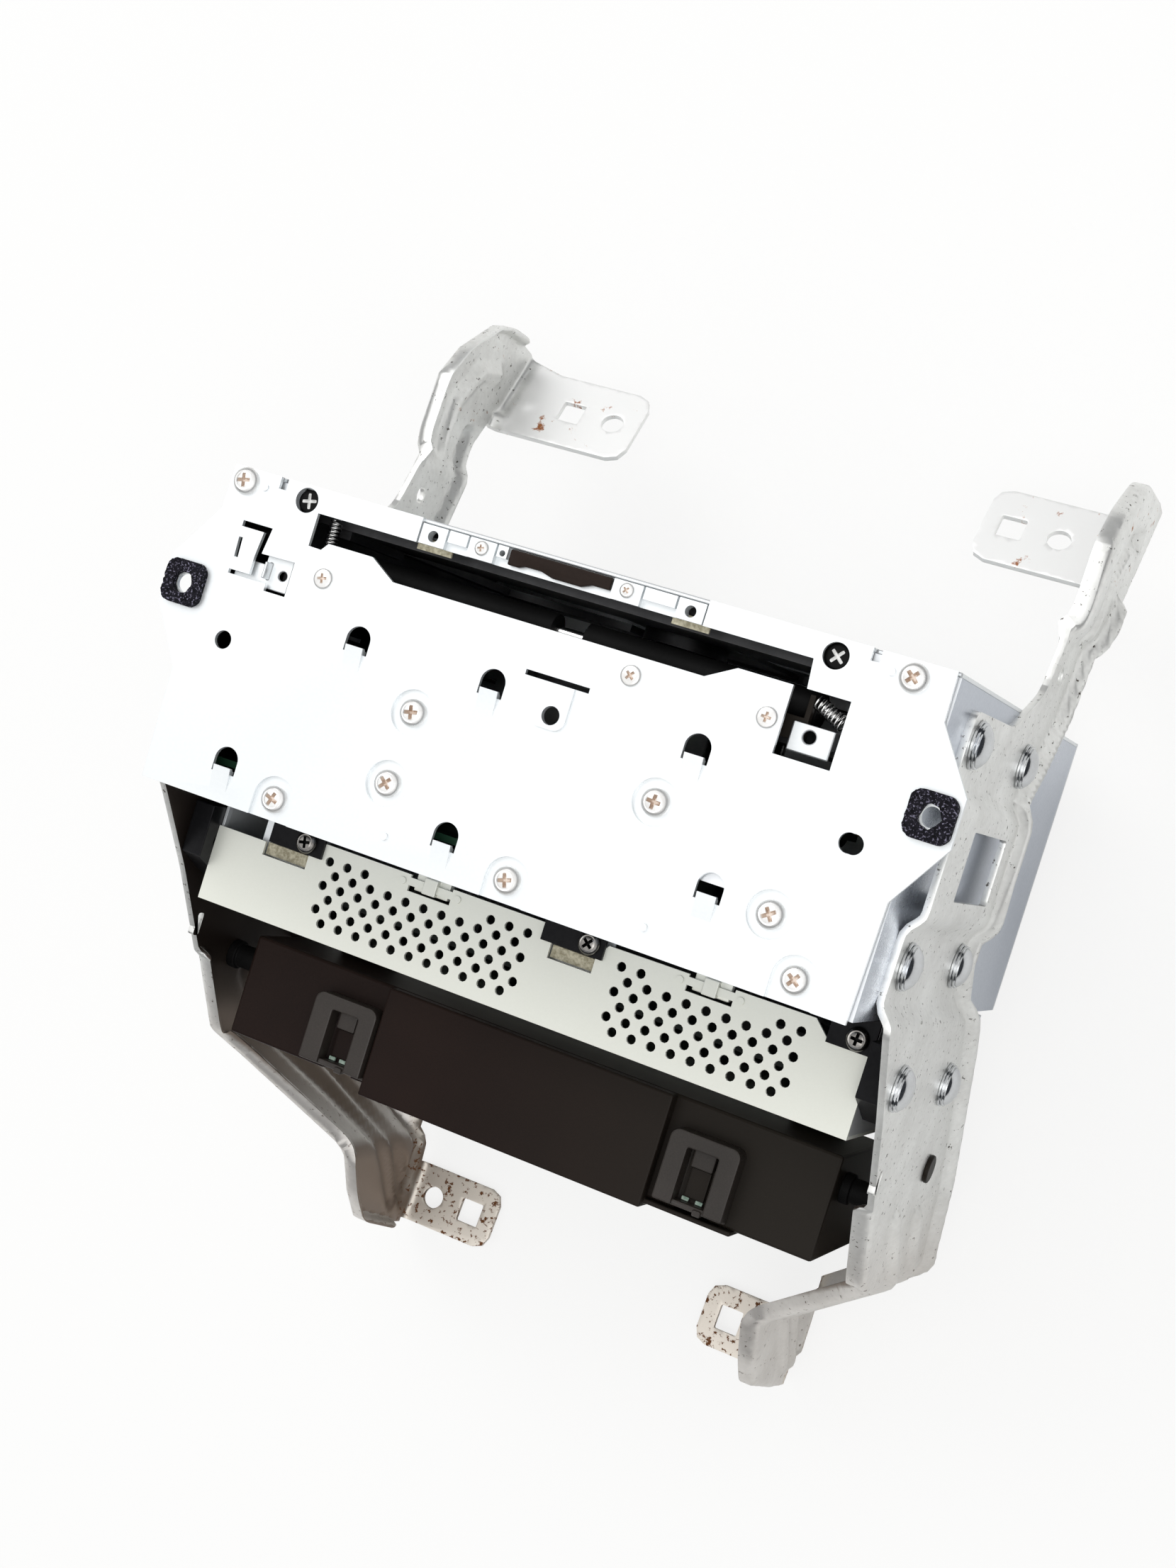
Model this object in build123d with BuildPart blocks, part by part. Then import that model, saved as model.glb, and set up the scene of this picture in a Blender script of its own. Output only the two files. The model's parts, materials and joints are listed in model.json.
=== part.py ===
from build123d import *
import math
import os

os.makedirs("parts", exist_ok=True)

# The unit lies on its back: +Z is towards the driver, +Y is up on the dashboard.

# Front plate and chassis
FRONT = 172.0
SHEET = 1.0
HALF_W = 89.0
PLATE_TOP = 64.2
PLATE_LOW = -11.3
EAR_X = HALF_W + 8.8
EAR_HOLE = 2.2
WALL_LOW = -10.5
FLANGE_Z = FRONT - 2.8
DISH_DROP = 0.8
DISH_R = 5.2
REAR = 17.0
REAR_T = 1.2

# Disc slot
SPREAD = HALF_W / 89.0
SLOT_LEFT = -63.8 * SPREAD
SLOT_RIGHT = 58.3 * SPREAD
SLOT_TOP = 58.5
SLOT_LOW = 48.4

# Foam pads on the ears
PAD = 10.4
PAD_T = 1.8
PAD_CUT = 1.6
PAD_X = HALF_W + 3.0
PAD_Y = 34.4

# Screws
HEAD_R = 3.2
HEAD_T = 1.7
SHANK_R = 1.5
SHANK_FIT = 0.1
SMALL_HEAD_R = 2.4
DOME_R = 5.5
DOME_T = 2.6
DOME_SHANK_R = 2.4
DOME_SHANK = 5.0

# Lower module with the perforated cover
MOD_X = HALF_W - 2.0
MOD_TOP = -12.6
MOD_LOW = -39.4
MOD_FRONT = FRONT - 39.0
MOD_REAR = 20.0
MOD_SHEET = 0.8
PERF_R = 1.15
PERF_X = 5.0
PERF_Y = 3.0

# Black control housing
HOUSE_X = HALF_W - 7.1
HOUSE_TOP = -47.3
HOUSE_LOW = -73.4
HOUSE_FRONT = FRONT - 66.0
HOUSE_REAR = HOUSE_FRONT - 42.0
HOUSE_WALL = 2.0
BLOCK_L = -40.0
BLOCK_R = 39.2
BLOCK_LOW = -75.6
BLOCK_FRONT = HOUSE_FRONT + 4.0
LOOP_T = 5.0
BUMPER_R = 3.8
BUMPER_Y = -55.5
BUMPER_Z = HOUSE_FRONT - 9.0

# Side brackets: pressed steel, outer faces of the pads and of the raised parts
STEEL = 1.6
RAISE = 3.4
PAD_OUT = HALF_W + STEEL
RAISED_OUT = PAD_OUT + RAISE
BEND_R = 2.4
CORNER_R = 2.0
CLIP_Y = -49.0
CLIP_Z = FRONT - 105.0
ARM_OUT = 63.5
TIP_Y = 129.6
BEAD = 2.6
FOOT_HOLE_R = 3.2
FOOT_SQUARE = 6.9
FOOT_BEND = 3.2
FOOT_RISE = 5.0
LOW_FOOT_Y = -119.4
LOW_FOOT_Z = FRONT - 168.8
LOW_FOOT_TILT = 9.1
LOW_FOOT_W = 17.7
LOW_HOLE_IN = 42.4
LOW_HOLE_OUT = 55.0
UP_FOOT_Y = 112.6
UP_FOOT_Z = FRONT - 133.2
UP_FOOT_TILT = 30.1
UP_FOOT_W = 24.0
UP_HOLE_IN = 58.8
UP_HOLE_OUT = 71.9

# Disc mechanism
DISC_Z = 88.0
DECK_Y = 40.0
DECK_T = 1.2
DECK_X = HALF_W - 19.0
ROLLER_Y = 48.8
ROLLER_Z = FLANGE_Z - 9.2
ROLLER_R = 4.0
AXLE_R = 1.5
AXLE_FIT = 0.05
GEAR_M = 0.5
ROLLER_TEETH = 24
IDLER_TEETH = 30
PINION_TEETH = 12
GEAR_X = DECK_X + 2.0
GEAR_T = 3.0
IDLER_DIR = 216.87
PINION_DIR = 210.96
SLED_TEETH = 16
SLED_HOME = 116.0
ROD_X = 24.0
ROD_Y = 45.6
ROD_R = 1.5
RACK_X = 32.0
DRIVE_Z = 128.0
CLAMP_PIVOT_Z = 34.0
CLAMP_Y = 59.2

# Rear parts
SINK_L = 3.0 - HALF_W
SINK_R = HALF_W - 55.0
FAN_X = HALF_W - 27.0
FAN_Y = 30.0
FAN_SIZE = 40.0
FAN_REAR = 6.0
FAN_R = 18.2


def slab(x0, x1, y0, y1, z0, z1, mode=Mode.ADD):
    with Locations(Pos((x0 + x1) / 2, (y0 + y1) / 2, (z0 + z1) / 2)):
        Box(x1 - x0, y1 - y0, z1 - z0, mode=mode)


def rod_z(x, y, r, z0, z1, mode=Mode.ADD):
    with Locations(Pos(x, y, (z0 + z1) / 2)):
        Cylinder(r, z1 - z0, mode=mode)


def rod_x(y, z, r, x0, x1, mode=Mode.ADD):
    with Locations(Pos((x0 + x1) / 2, y, z)):
        Cylinder(r, x1 - x0, rotation=(0, 90, 0), mode=mode)


def rod_y(x, z, r, y0, y1, mode=Mode.ADD):
    with Locations(Pos(x, (y0 + y1) / 2, z)):
        Cylinder(r, y1 - y0, rotation=(90, 0, 0), mode=mode)


def outline(plane, points, depth, mode=Mode.ADD):
    with BuildSketch(plane) as shape:
        with BuildLine():
            Polyline(*points, close=True)
        make_face()
    extrude(shape.sketch, amount=depth, mode=mode)


def front_cut(points, z0, z1, mode=Mode.ADD):
    outline(Plane.XY.offset(z0), points, z1 - z0, mode)


def side_cut(points, x0, x1, mode=Mode.ADD):
    outline(Plane.YZ.offset(x0), points, x1 - x0, mode)


def cross_recess(x, y, z, reach, depth):
    slab(x - reach, x + reach, y - 0.35, y + 0.35, z - depth, z + 0.1, Mode.SUBTRACT)
    slab(x - 0.35, x + 0.35, y - reach, y + reach, z - depth, z + 0.1, Mode.SUBTRACT)


def front_screw(x, y, seat, head_r, head_t, shank_r, length):
    rod_z(x, y, head_r, seat, seat + head_t * 0.6)
    rod_z(x, y, head_r * 0.8, seat + head_t * 0.6, seat + head_t)
    rod_z(x, y, shank_r, seat - length, seat)
    cross_recess(x, y, seat + head_t, head_r * 0.55, head_t * 0.6)


def gear_points(teeth, module, turn):
    outer = module * (teeth + 1.8) / 2
    root = module * (teeth - 2.5) / 2
    pitch = 360 / teeth
    points = []
    for tooth in range(teeth):
        centre = turn + tooth * pitch
        for share, radius in ((-0.29, root), (-0.13, outer), (0.13, outer), (0.29, root)):
            angle = math.radians(centre + share * pitch)
            points.append((radius * math.cos(angle), radius * math.sin(angle)))
    return points


def gear(origin, normal, teeth, thick, turn=0.0):
    x_dir = (0, 1, 0) if normal[0] else (0, 0, 1)
    outline(Plane(origin, x_dir=x_dir, z_dir=normal), gear_points(teeth, GEAR_M, turn), thick)


def both(points):
    return [(-x, y) for x, y in reversed(points)]


def spread(points):
    return [(x * SPREAD, *rest) for x, *rest in points]


def behind(points):
    return [(y, FRONT - depth) for y, depth in points]


# Front plate with its slot, lanced holes and screw dishes
EAR = [
    (HALF_W - 0.7, PLATE_TOP), (HALF_W - 0.4, 53.5), (EAR_X, 40.0), (EAR_X, 29.2), (HALF_W - 0.2, 15.2),
    (HALF_W - 0.9, PLATE_LOW),
]
SLOT = [
    (SLOT_LEFT, SLOT_TOP), (SLOT_LEFT, 50.8), (SLOT_LEFT + 3.4, 50.7), (SLOT_LEFT + 4.9, 52.5),
    (SLOT_LEFT + 16.6, 52.5), (SLOT_LEFT + 23.3, SLOT_LOW), (SLOT_RIGHT - 21.8, SLOT_LOW),
    (SLOT_RIGHT - 15.1, 52.1), (SLOT_RIGHT - 2.4, 52.1), (SLOT_RIGHT - 2.4, 37.2), (SLOT_RIGHT + 10.5, 37.2),
    (SLOT_RIGHT + 10.5, 52.1), (SLOT_RIGHT + 0.6, 52.1), (SLOT_RIGHT, SLOT_TOP),
]
ZED = [
    (18.2, 52.2), (10.2, 52.2), (11.1, 46.0), (2.1, 46.2), (2.1, 38.0), (7.8, 38.0), (7.8, 39.6),
    (18.2, 39.6), (18.2, 40.6), (12.7, 40.6), (12.7, 44.9), (12.1, 50.8), (18.2, 50.8),
]
ZED_SLIT = [(18.1, 48.3), (17.1, 48.3), (16.9, 43.6), (17.9, 43.6)]
D_HOLES = spread([(-44.5, 33.8), (-9.75, 33.7), (39.95, 33.6), (51.85, 6.6), (-67.9, -1.5), (-9.6, -1.45)])
D_R = 3.05
D_LEG = 0.8
LOUVRE = [(-7.0, 0.0), (-1.6, 1.0), (-1.6, 0.1), (-2.2, -0.6), (-3.2, -0.9)]
DISHES = spread([(-26.3, 22.0), (-27.2, 5.3), (34.4, 19.9), (65.9, 5.2)])
OPEN_DISHES = spread([(-53.3, -6.4), (7.2, -6.3), (75.1, -6.0)])
SMALL_SCREWS = spread([(-57.6, 44.6), (20.7, 44.0), (52.5, 44.0)])
CORNER_SCREWS = [(4.8 - HALF_W, 61.0), (HALF_W - 9.1, 60.4)]
HIDDEN_SCREWS = [(SLOT_LEFT - 3.8, 60.6), (SLOT_RIGHT + 4.4, 60.3)]
PLAIN_HOLES = [(11.0 - HALF_W, 24.5, 2.15), (HALF_W - 11.7, 24.3, 2.2), (HALF_W - 10.7, 24.3, 2.2)]
TABS = spread([(-34.3, 6.4), (-22.0, 6.6), (13.9, 7.0), (29.2, 6.4)])
EDGE_NOTCHES = (-74.6 * SPREAD, 71.0 * SPREAD)
DIMPLES = spread([(-79.1, 60.8), (75.0, 60.4), (40.4, -6.0), (-23.9, -6.0)])
TAB_GAP = 0.5
BRIDGE_X = 5.0

with BuildPart() as front_plate:
    front_cut(EAR + both(EAR), FRONT - SHEET, FRONT)
    front_cut(SLOT, FRONT - SHEET, FRONT, Mode.SUBTRACT)
    for cut in (ZED, ZED_SLIT):
        front_cut([(SLOT_LEFT - d, y) for d, y in cut], FRONT - SHEET, FRONT, Mode.SUBTRACT)
    for x in EDGE_NOTCHES:
        slab(x - 1.0, x + 1.0, 61.4, 65.0, FRONT - SHEET, FRONT, Mode.SUBTRACT)
    slab(TABS[0][0] - 3.6, TABS[3][0] + 3.6, 58.0, 65.0, FRONT - SHEET, FRONT, Mode.SUBTRACT)
    for x, y in D_HOLES:
        rod_z(x, y, D_R, FRONT - SHEET, FRONT, Mode.SUBTRACT)
        slab(x - D_R, x + D_R, y - 3.1, y, FRONT - SHEET, FRONT, Mode.SUBTRACT)
        slab(x - D_R + D_LEG, x + D_R - D_LEG, y - 3.2, y - 2.2, FRONT - SHEET, FRONT)
        side_cut([(y + a, FRONT + b) for a, b in LOUVRE], x - D_R + D_LEG, x + D_R - D_LEG)
    for x, y in DISHES:
        rod_z(x, y, DISH_R + 0.8, FRONT - SHEET - DISH_DROP, FRONT - SHEET)
        rod_z(x, y, DISH_R, FRONT - DISH_DROP, FRONT, Mode.SUBTRACT)
        rod_z(x, y, SHANK_R + SHANK_FIT, FRONT - 3, FRONT, Mode.SUBTRACT)
    for x, y in OPEN_DISHES:
        rod_z(x, y, DISH_R + 0.8, FRONT - SHEET - DISH_DROP, FRONT - SHEET)
        slab(x - DISH_R - 0.8, x + DISH_R + 0.8, PLATE_LOW, y, FRONT - SHEET - DISH_DROP, FRONT - SHEET)
        rod_z(x, y, DISH_R, FRONT - DISH_DROP, FRONT, Mode.SUBTRACT)
        slab(x - DISH_R, x + DISH_R, PLATE_LOW - 1, y, FRONT - DISH_DROP, FRONT, Mode.SUBTRACT)
        rod_z(x, y, SHANK_R + SHANK_FIT, FRONT - 3, FRONT, Mode.SUBTRACT)
        slab(x - 8, x + 8, PLATE_LOW - 2, PLATE_LOW, FRONT - 3, FRONT + 1, Mode.SUBTRACT)
    for x, y in SMALL_SCREWS + CORNER_SCREWS:
        rod_z(x, y, SHANK_R + SHANK_FIT, FRONT - SHEET, FRONT, Mode.SUBTRACT)
    for x, y in HIDDEN_SCREWS:
        rod_z(x, y, 2.9, FRONT - SHEET, FRONT, Mode.SUBTRACT)
    for x, y, r in PLAIN_HOLES:
        rod_z(x, y, r, FRONT - SHEET, FRONT, Mode.SUBTRACT)
    for side in (-1, 1):
        rod_z(side * PAD_X, PAD_Y, EAR_HOLE, FRONT - SHEET, FRONT, Mode.SUBTRACT)
    slab(BRIDGE_X - 8.0, BRIDGE_X + 7.6, 37.6, 38.8, FRONT - SHEET, FRONT, Mode.SUBTRACT)
    with BuildSketch(Plane.XY.offset(FRONT)) as pad:
        with Locations((BRIDGE_X + 0.3, 32.6)):
            Rectangle(8.4, 10.0)
        fillet(pad.vertices().group_by(Axis.Y)[0], 2.6)
    extrude(pad.sketch, amount=0.5)
    rod_z(BRIDGE_X + 0.85, 30.65, 2.1, FRONT - SHEET, FRONT + 0.5, Mode.SUBTRACT)
    for x, y in DIMPLES:
        rod_z(x, y, 0.9, FRONT, FRONT + 0.4)

with BuildPart() as foam_pads:
    for side in (-1, 1):
        h = PAD / 2
        c = PAD_CUT
        x = side * PAD_X
        pad = [
            (x - h + c, PAD_Y - h), (x + h - c, PAD_Y - h), (x + h, PAD_Y - h + c), (x + h, PAD_Y + h - c),
            (x + h - c, PAD_Y + h), (x - h + c, PAD_Y + h), (x - h, PAD_Y + h - c), (x - h, PAD_Y - h + c),
        ]
        front_cut(pad, FRONT, FRONT + PAD_T)
        rod_z(x, PAD_Y, EAR_HOLE + 0.4, FRONT, FRONT + PAD_T, Mode.SUBTRACT)

with BuildPart() as plate_screws:
    for x, y in DISHES + OPEN_DISHES:
        front_screw(x, y, FRONT - DISH_DROP, HEAD_R, HEAD_T, SHANK_R, 6.0)

with BuildPart() as corner_screws:
    for x, y in CORNER_SCREWS:
        front_screw(x, y, FRONT, HEAD_R, HEAD_T, SHANK_R, 6.0)

with BuildPart() as small_screws:
    for x, y in SMALL_SCREWS:
        front_screw(x, y, FRONT, SMALL_HEAD_R, 0.8, SHANK_R, 2.8)

with BuildPart() as deep_screws:
    for x, y in HIDDEN_SCREWS:
        front_screw(x, y, FLANGE_Z + SHEET, 2.4, 0.7, 1.2, 5.0)

# Brown strip and the two kinds of tab along the top of the slot
STRIP = spread([
    (-15.2, 63.0), (9.8, 63.0), (9.8, 60.2), (5.5, 60.2), (3.0, 59.2), (-4.0, 59.2), (-7.0, 60.0),
    (-11.0, 60.0), (-12.5, 59.4), (-15.2, 59.4),
])

with BuildPart() as slot_strip:
    front_cut(STRIP, FLANGE_Z + SHEET, FRONT - 0.4)

with BuildPart() as slot_frame:
    slab(TABS[0][0] - 5.7, TABS[3][0] + 6.8, 58.6, 63.1, FLANGE_Z, FLANGE_Z + SHEET)
    ends = [(x - wide / 2 - TAB_GAP, x + wide / 2 + TAB_GAP) for x, wide in TABS]
    for x0, x1 in ((ends[0][1], ends[1][0]), (ends[1][1], STRIP[0][0] - TAB_GAP), (ends[2][1], ends[3][0])):
        slab(x0, x1, 60.4, 63.1, FLANGE_Z + SHEET, FRONT - 0.2)
    rod_z(STRIP[0][0] - 1.7, 61.4, 0.7, FLANGE_Z, FRONT, Mode.SUBTRACT)
    for x, wide in TABS:
        slab(x - wide / 2, x + wide / 2, 58.6, 63.1, FLANGE_Z + SHEET, FRONT - 0.2)
    for x, wide in (TABS[0], TABS[3]):
        rod_z(x, 60.7, 1.3, FLANGE_Z, FRONT, Mode.SUBTRACT)
    for x, wide in (TABS[1], TABS[2]):
        rod_z(x, 61.2, 0.9, FLANGE_Z, FRONT, Mode.SUBTRACT)

with BuildPart() as tab_screws:
    for x, wide in (TABS[1], TABS[2]):
        front_screw(x, 61.2, FRONT - 0.2, 1.7, 0.7, 0.8, 4.0)

# Formed lock piece behind the Z-shaped cut
with BuildPart() as lock_piece:
    low = FLANGE_Z + SHEET - 0.8
    slab(SLOT_LEFT - 17.7, SLOT_LEFT - 3.2, 38.6, 44.0, low, low + 0.8)
    slab(SLOT_LEFT - 10.2, SLOT_LEFT - 3.2, 44.0, 49.0, low, low + 0.8)
    slab(SLOT_LEFT - 9.2, SLOT_LEFT - 8.4, 40.7, 44.6, low + 0.8, FRONT + 0.6)
    rod_z(SLOT_LEFT - 5.1, 42.4, 1.1, FLANGE_Z, FRONT, Mode.SUBTRACT)

# Chassis shell: floor, both side walls and the flange behind the front plate
SIDE_SCREWS = behind([(51.8, 25.7), (52.0, 82.0), (2.2, 26.0), (2.5, 79.0)])
MODULE_SCREWS = [(-24.8, MOD_FRONT - 2.0), (-26.5, MOD_FRONT - 54.0)]
CROSS_SLOT = [
    (-4.5, 31.0), (-1.0, 31.0), (-1.0, 27.4), (0.2, 27.4), (0.2, 31.0), (3.2, 31.0), (3.2, 32.4), (0.2, 32.4),
    (0.2, 36.0), (-1.0, 36.0), (-1.0, 32.4), (-4.5, 32.4),
]
WALL_SLOTS = [
    behind(CROSS_SLOT),
    [(24.0, 65.0), (27.0, 65.0), (27.0, 54.0), (25.6, 54.0), (25.6, 63.0), (24.0, 63.0)],
    [(40.0, 70.0), (42.2, 70.0), (42.2, 58.0), (40.0, 58.0)],
]

with BuildPart() as chassis_shell:
    slab(-HALF_W, HALF_W, WALL_LOW, WALL_LOW + SHEET, REAR + REAR_T, FLANGE_Z + SHEET)
    for side in (-1, 1):
        inner = side * (HALF_W - SHEET)
        outer = side * HALF_W
        low, high = min(inner, outer), max(inner, outer)
        slab(low, high, WALL_LOW, PLATE_TOP - SHEET, REAR + REAR_T, FLANGE_Z + SHEET)
        for points in WALL_SLOTS:
            side_cut(points, low, high, Mode.SUBTRACT)
        ledge = sorted((inner, side * (HALF_W - 17.0)))
        for z in (40.0, 112.0):
            slab(ledge[0], ledge[1], 32.8, 33.8, z - 7, z + 7)
    slab(1 - HALF_W, HALF_W - 1, WALL_LOW + SHEET, 40.0, FLANGE_Z, FLANGE_Z + SHEET)
    slab(1 - HALF_W, SLOT_LEFT - 1.5, 40.0, PLATE_TOP - SHEET, FLANGE_Z, FLANGE_Z + SHEET)
    slab(SLOT_RIGHT + 12.7, HALF_W - 1, 40.0, PLATE_TOP - SHEET, FLANGE_Z, FLANGE_Z + SHEET)
    slab(SLOT_LEFT - 1.5, SLOT_RIGHT - 3.9, 40.0, 47.4, FLANGE_Z, FLANGE_Z + SHEET)
    slab(SLOT_RIGHT + 1.3, SLOT_RIGHT + 12.7, 57.2, PLATE_TOP - SHEET, FLANGE_Z, FLANGE_Z + SHEET)
    slab(SLOT_LEFT - 19.2, SLOT_LEFT - 1.5, 37.5, 53.0, FLANGE_Z, FLANGE_Z + SHEET, Mode.SUBTRACT)
    slab(SLOT_RIGHT - 3.9, SLOT_RIGHT + 12.7, 36.0, 40.0, FLANGE_Z, FLANGE_Z + SHEET, Mode.SUBTRACT)
    for x, y in D_HOLES:
        top = y + (0.6 if 0.0 < y < 10.0 else 5.0)
        slab(x - 5.0, x + 5.0, y - 5.2, top, FLANGE_Z, FLANGE_Z + SHEET, Mode.SUBTRACT)
    for x, y in DISHES + OPEN_DISHES + SMALL_SCREWS + CORNER_SCREWS + HIDDEN_SCREWS:
        rod_z(x, y, SHANK_R + SHANK_FIT, FLANGE_Z, FLANGE_Z + SHEET, Mode.SUBTRACT)
    for x, y, r in PLAIN_HOLES:
        rod_z(x, y, r + 0.6, FLANGE_Z, FLANGE_Z + SHEET, Mode.SUBTRACT)
    rod_z(BRIDGE_X + 0.85, 30.65, 3.0, FLANGE_Z, FLANGE_Z + SHEET, Mode.SUBTRACT)
    slab(BRIDGE_X - 9.0, BRIDGE_X + 8.8, 36.8, 39.9, FLANGE_Z, FLANGE_Z + SHEET, Mode.SUBTRACT)
    for side in (-1, 1):
        for y, z in SIDE_SCREWS:
            rod_x(y, z, DOME_SHANK_R + SHANK_FIT, side * HALF_W - 2, side * HALF_W + 2, Mode.SUBTRACT)

with BuildPart() as top_cover:
    slab(-HALF_W, HALF_W, PLATE_TOP - SHEET, PLATE_TOP, REAR + REAR_T, FRONT - SHEET)
    for x in (-60, -30, 0, 30, 60):
        slab(x - 2.5, x + 2.5, PLATE_TOP - SHEET, PLATE_TOP, 40.0, FRONT - 52.0, Mode.SUBTRACT)
    for x in EDGE_NOTCHES:
        slab(x - 1.0, x + 1.0, PLATE_TOP - 3, PLATE_TOP + 1, FRONT - 3, FRONT, Mode.SUBTRACT)
    slab(SLOT_LEFT + 1.4, SLOT_LEFT + 3.0, 58.6, PLATE_TOP - SHEET, FRONT - 6.6, FRONT - 4.6)

with BuildPart() as rear_panel:
    slab(-HALF_W, HALF_W, WALL_LOW, PLATE_TOP, REAR, REAR + REAR_T)
    rod_z(FAN_X, FAN_Y, FAN_R, REAR, REAR + REAR_T, Mode.SUBTRACT)
    slab(FAN_X - 24.0, FAN_X + 20.0, -6.5, 3.5, REAR, REAR + REAR_T, Mode.SUBTRACT)
    slab(FAN_X - 18.0, FAN_X + 14.0, 54.0, 61.0, REAR, REAR + REAR_T, Mode.SUBTRACT)

with BuildPart() as heat_sink:
    slab(SINK_L, SINK_R, -8.0, 62.0, 12.0, REAR)
    for i in range(16):
        x = SINK_L + i * (SINK_R - SINK_L - 2.0) / 15
        slab(x, x + 2.0, -8.0, 62.0, 0.0, 12.0)

with BuildPart() as rear_connectors:
    slab(FAN_X - 23.8, FAN_X + 19.8, -6.3, 3.3, 6.0, 30.0)
    slab(FAN_X - 22.0, FAN_X - 4.0, -4.6, 1.6, 6.0, 14.0, Mode.SUBTRACT)
    slab(FAN_X - 2.0, FAN_X + 18.0, -4.6, 1.6, 6.0, 14.0, Mode.SUBTRACT)
    slab(FAN_X - 17.8, FAN_X + 13.8, 54.2, 60.8, 8.0, 25.0)
    for x in (FAN_X - 12.0, FAN_X - 2.0, FAN_X + 8.0):
        slab(x - 3.5, x + 3.5, 55.6, 59.4, 8.0, 16.0, Mode.SUBTRACT)

# Rear fan
with BuildPart() as fan_frame:
    h = FAN_SIZE / 2
    slab(FAN_X - h, FAN_X + h, FAN_Y - h, FAN_Y + h, FAN_REAR, REAR)
    rod_z(FAN_X, FAN_Y, FAN_R + 0.4, FAN_REAR, REAR, Mode.SUBTRACT)
    slab(FAN_X - h + 1, FAN_X + h - 1, FAN_Y - 1.5, FAN_Y + 1.5, FAN_REAR, FAN_REAR + 1.2)
    slab(FAN_X - 1.5, FAN_X + 1.5, FAN_Y - h + 1, FAN_Y + h - 1, FAN_REAR, FAN_REAR + 1.2)
    rod_z(FAN_X, FAN_Y, 8.0, FAN_REAR, FAN_REAR + 1.2)
    rod_z(FAN_X, FAN_Y, 3.0, FAN_REAR + 1.2, FAN_REAR + 8.0)
    rod_z(FAN_X, FAN_Y, AXLE_R - 0.5 + AXLE_FIT, FAN_REAR + 0.6, FAN_REAR + 8.0, Mode.SUBTRACT)
    for dx in (-16, 16):
        for dy in (-16, 16):
            rod_z(FAN_X + dx, FAN_Y + dy, 1.6, FAN_REAR, REAR, Mode.SUBTRACT)

with BuildPart() as fan_rotor:
    rod_z(FAN_X, FAN_Y, 8.0, FAN_REAR + 1.8, REAR - 0.6)
    rod_z(FAN_X, FAN_Y, 4.2, FAN_REAR + 1.8, REAR - 1.8, Mode.SUBTRACT)
    rod_z(FAN_X, FAN_Y, AXLE_R - 0.5, FAN_REAR + 1.0, REAR - 1.0)
    for i in range(7):
        turn = i * 360 / 7
        hub = Pos(FAN_X, FAN_Y, (FAN_REAR + REAR) / 2 + 0.4)
        with Locations(hub * Rot(0, 0, turn) * Pos(12.6, 0, 0) * Rot(35, 0, 0)):
            Box(9.6, 8.0, 0.9)

# Main board over the chassis floor
BOARD_Y = -3.5
with BuildPart() as main_board:
    slab(5.0 - HALF_W, FAN_X - 26.0, BOARD_Y, BOARD_Y + 1.6, 24.0, FRONT - 8.0)
    slab(FAN_X - 26.0, HALF_W - 5.0, BOARD_Y, BOARD_Y + 1.6, 32.0, FRONT - 8.0)
    for x in (11.0 - HALF_W, FAN_X - 32.0, HALF_W - 11.0):
        for z in (36.0, FRONT - 14.0):
            rod_y(x, z, 2.6, WALL_LOW + SHEET, BOARD_Y)

with BuildPart() as board_parts:
    top = BOARD_Y + 1.6
    for x, z, w, d, h in (
        (-50, 110, 26, 26, 2.2), (0, 120, 20, 20, 1.8), (-10, 70, 34, 24, 4.0), (50, 130, 22, 14, 2.4),
        (55, 90, 30, 30, 5.0), (-60, 60, 18, 12, 3.0),
    ):
        slab(x - w / 2, x + w / 2, top, top + h, z - d / 2, z + d / 2)
    for x, z, r, h in ((20, 50, 5, 14), (34, 50, 5, 14), (-30, 40, 6.3, 18), (-68, 90, 4, 9), (68, 60, 4, 9)):
        rod_y(x, z, r, top, top + h)

# Perforated cover of the lower module
COVER = [
    (-MOD_X, MOD_LOW), (-MOD_X, -20.6), (-73.2, -20.6), (-73.2, -23.9), (-60.8, -23.9), (-60.8, -19.6),
    (-58.2, -16.2), (4.0, -16.2), (6.6, -18.9), (6.6, -23.9), (18.2, -23.9), (18.2, -19.4), (20.6, -16.4),
    (MOD_X - 14.7, -16.0), (MOD_X - 10.7, -19.8), (MOD_X, -20.2), (MOD_X, MOD_LOW),
]
CLIPS = [-27.0, 46.9]
TAB_SCREW_X = [-61.7, 16.1, MOD_X - 4.1]

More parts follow.
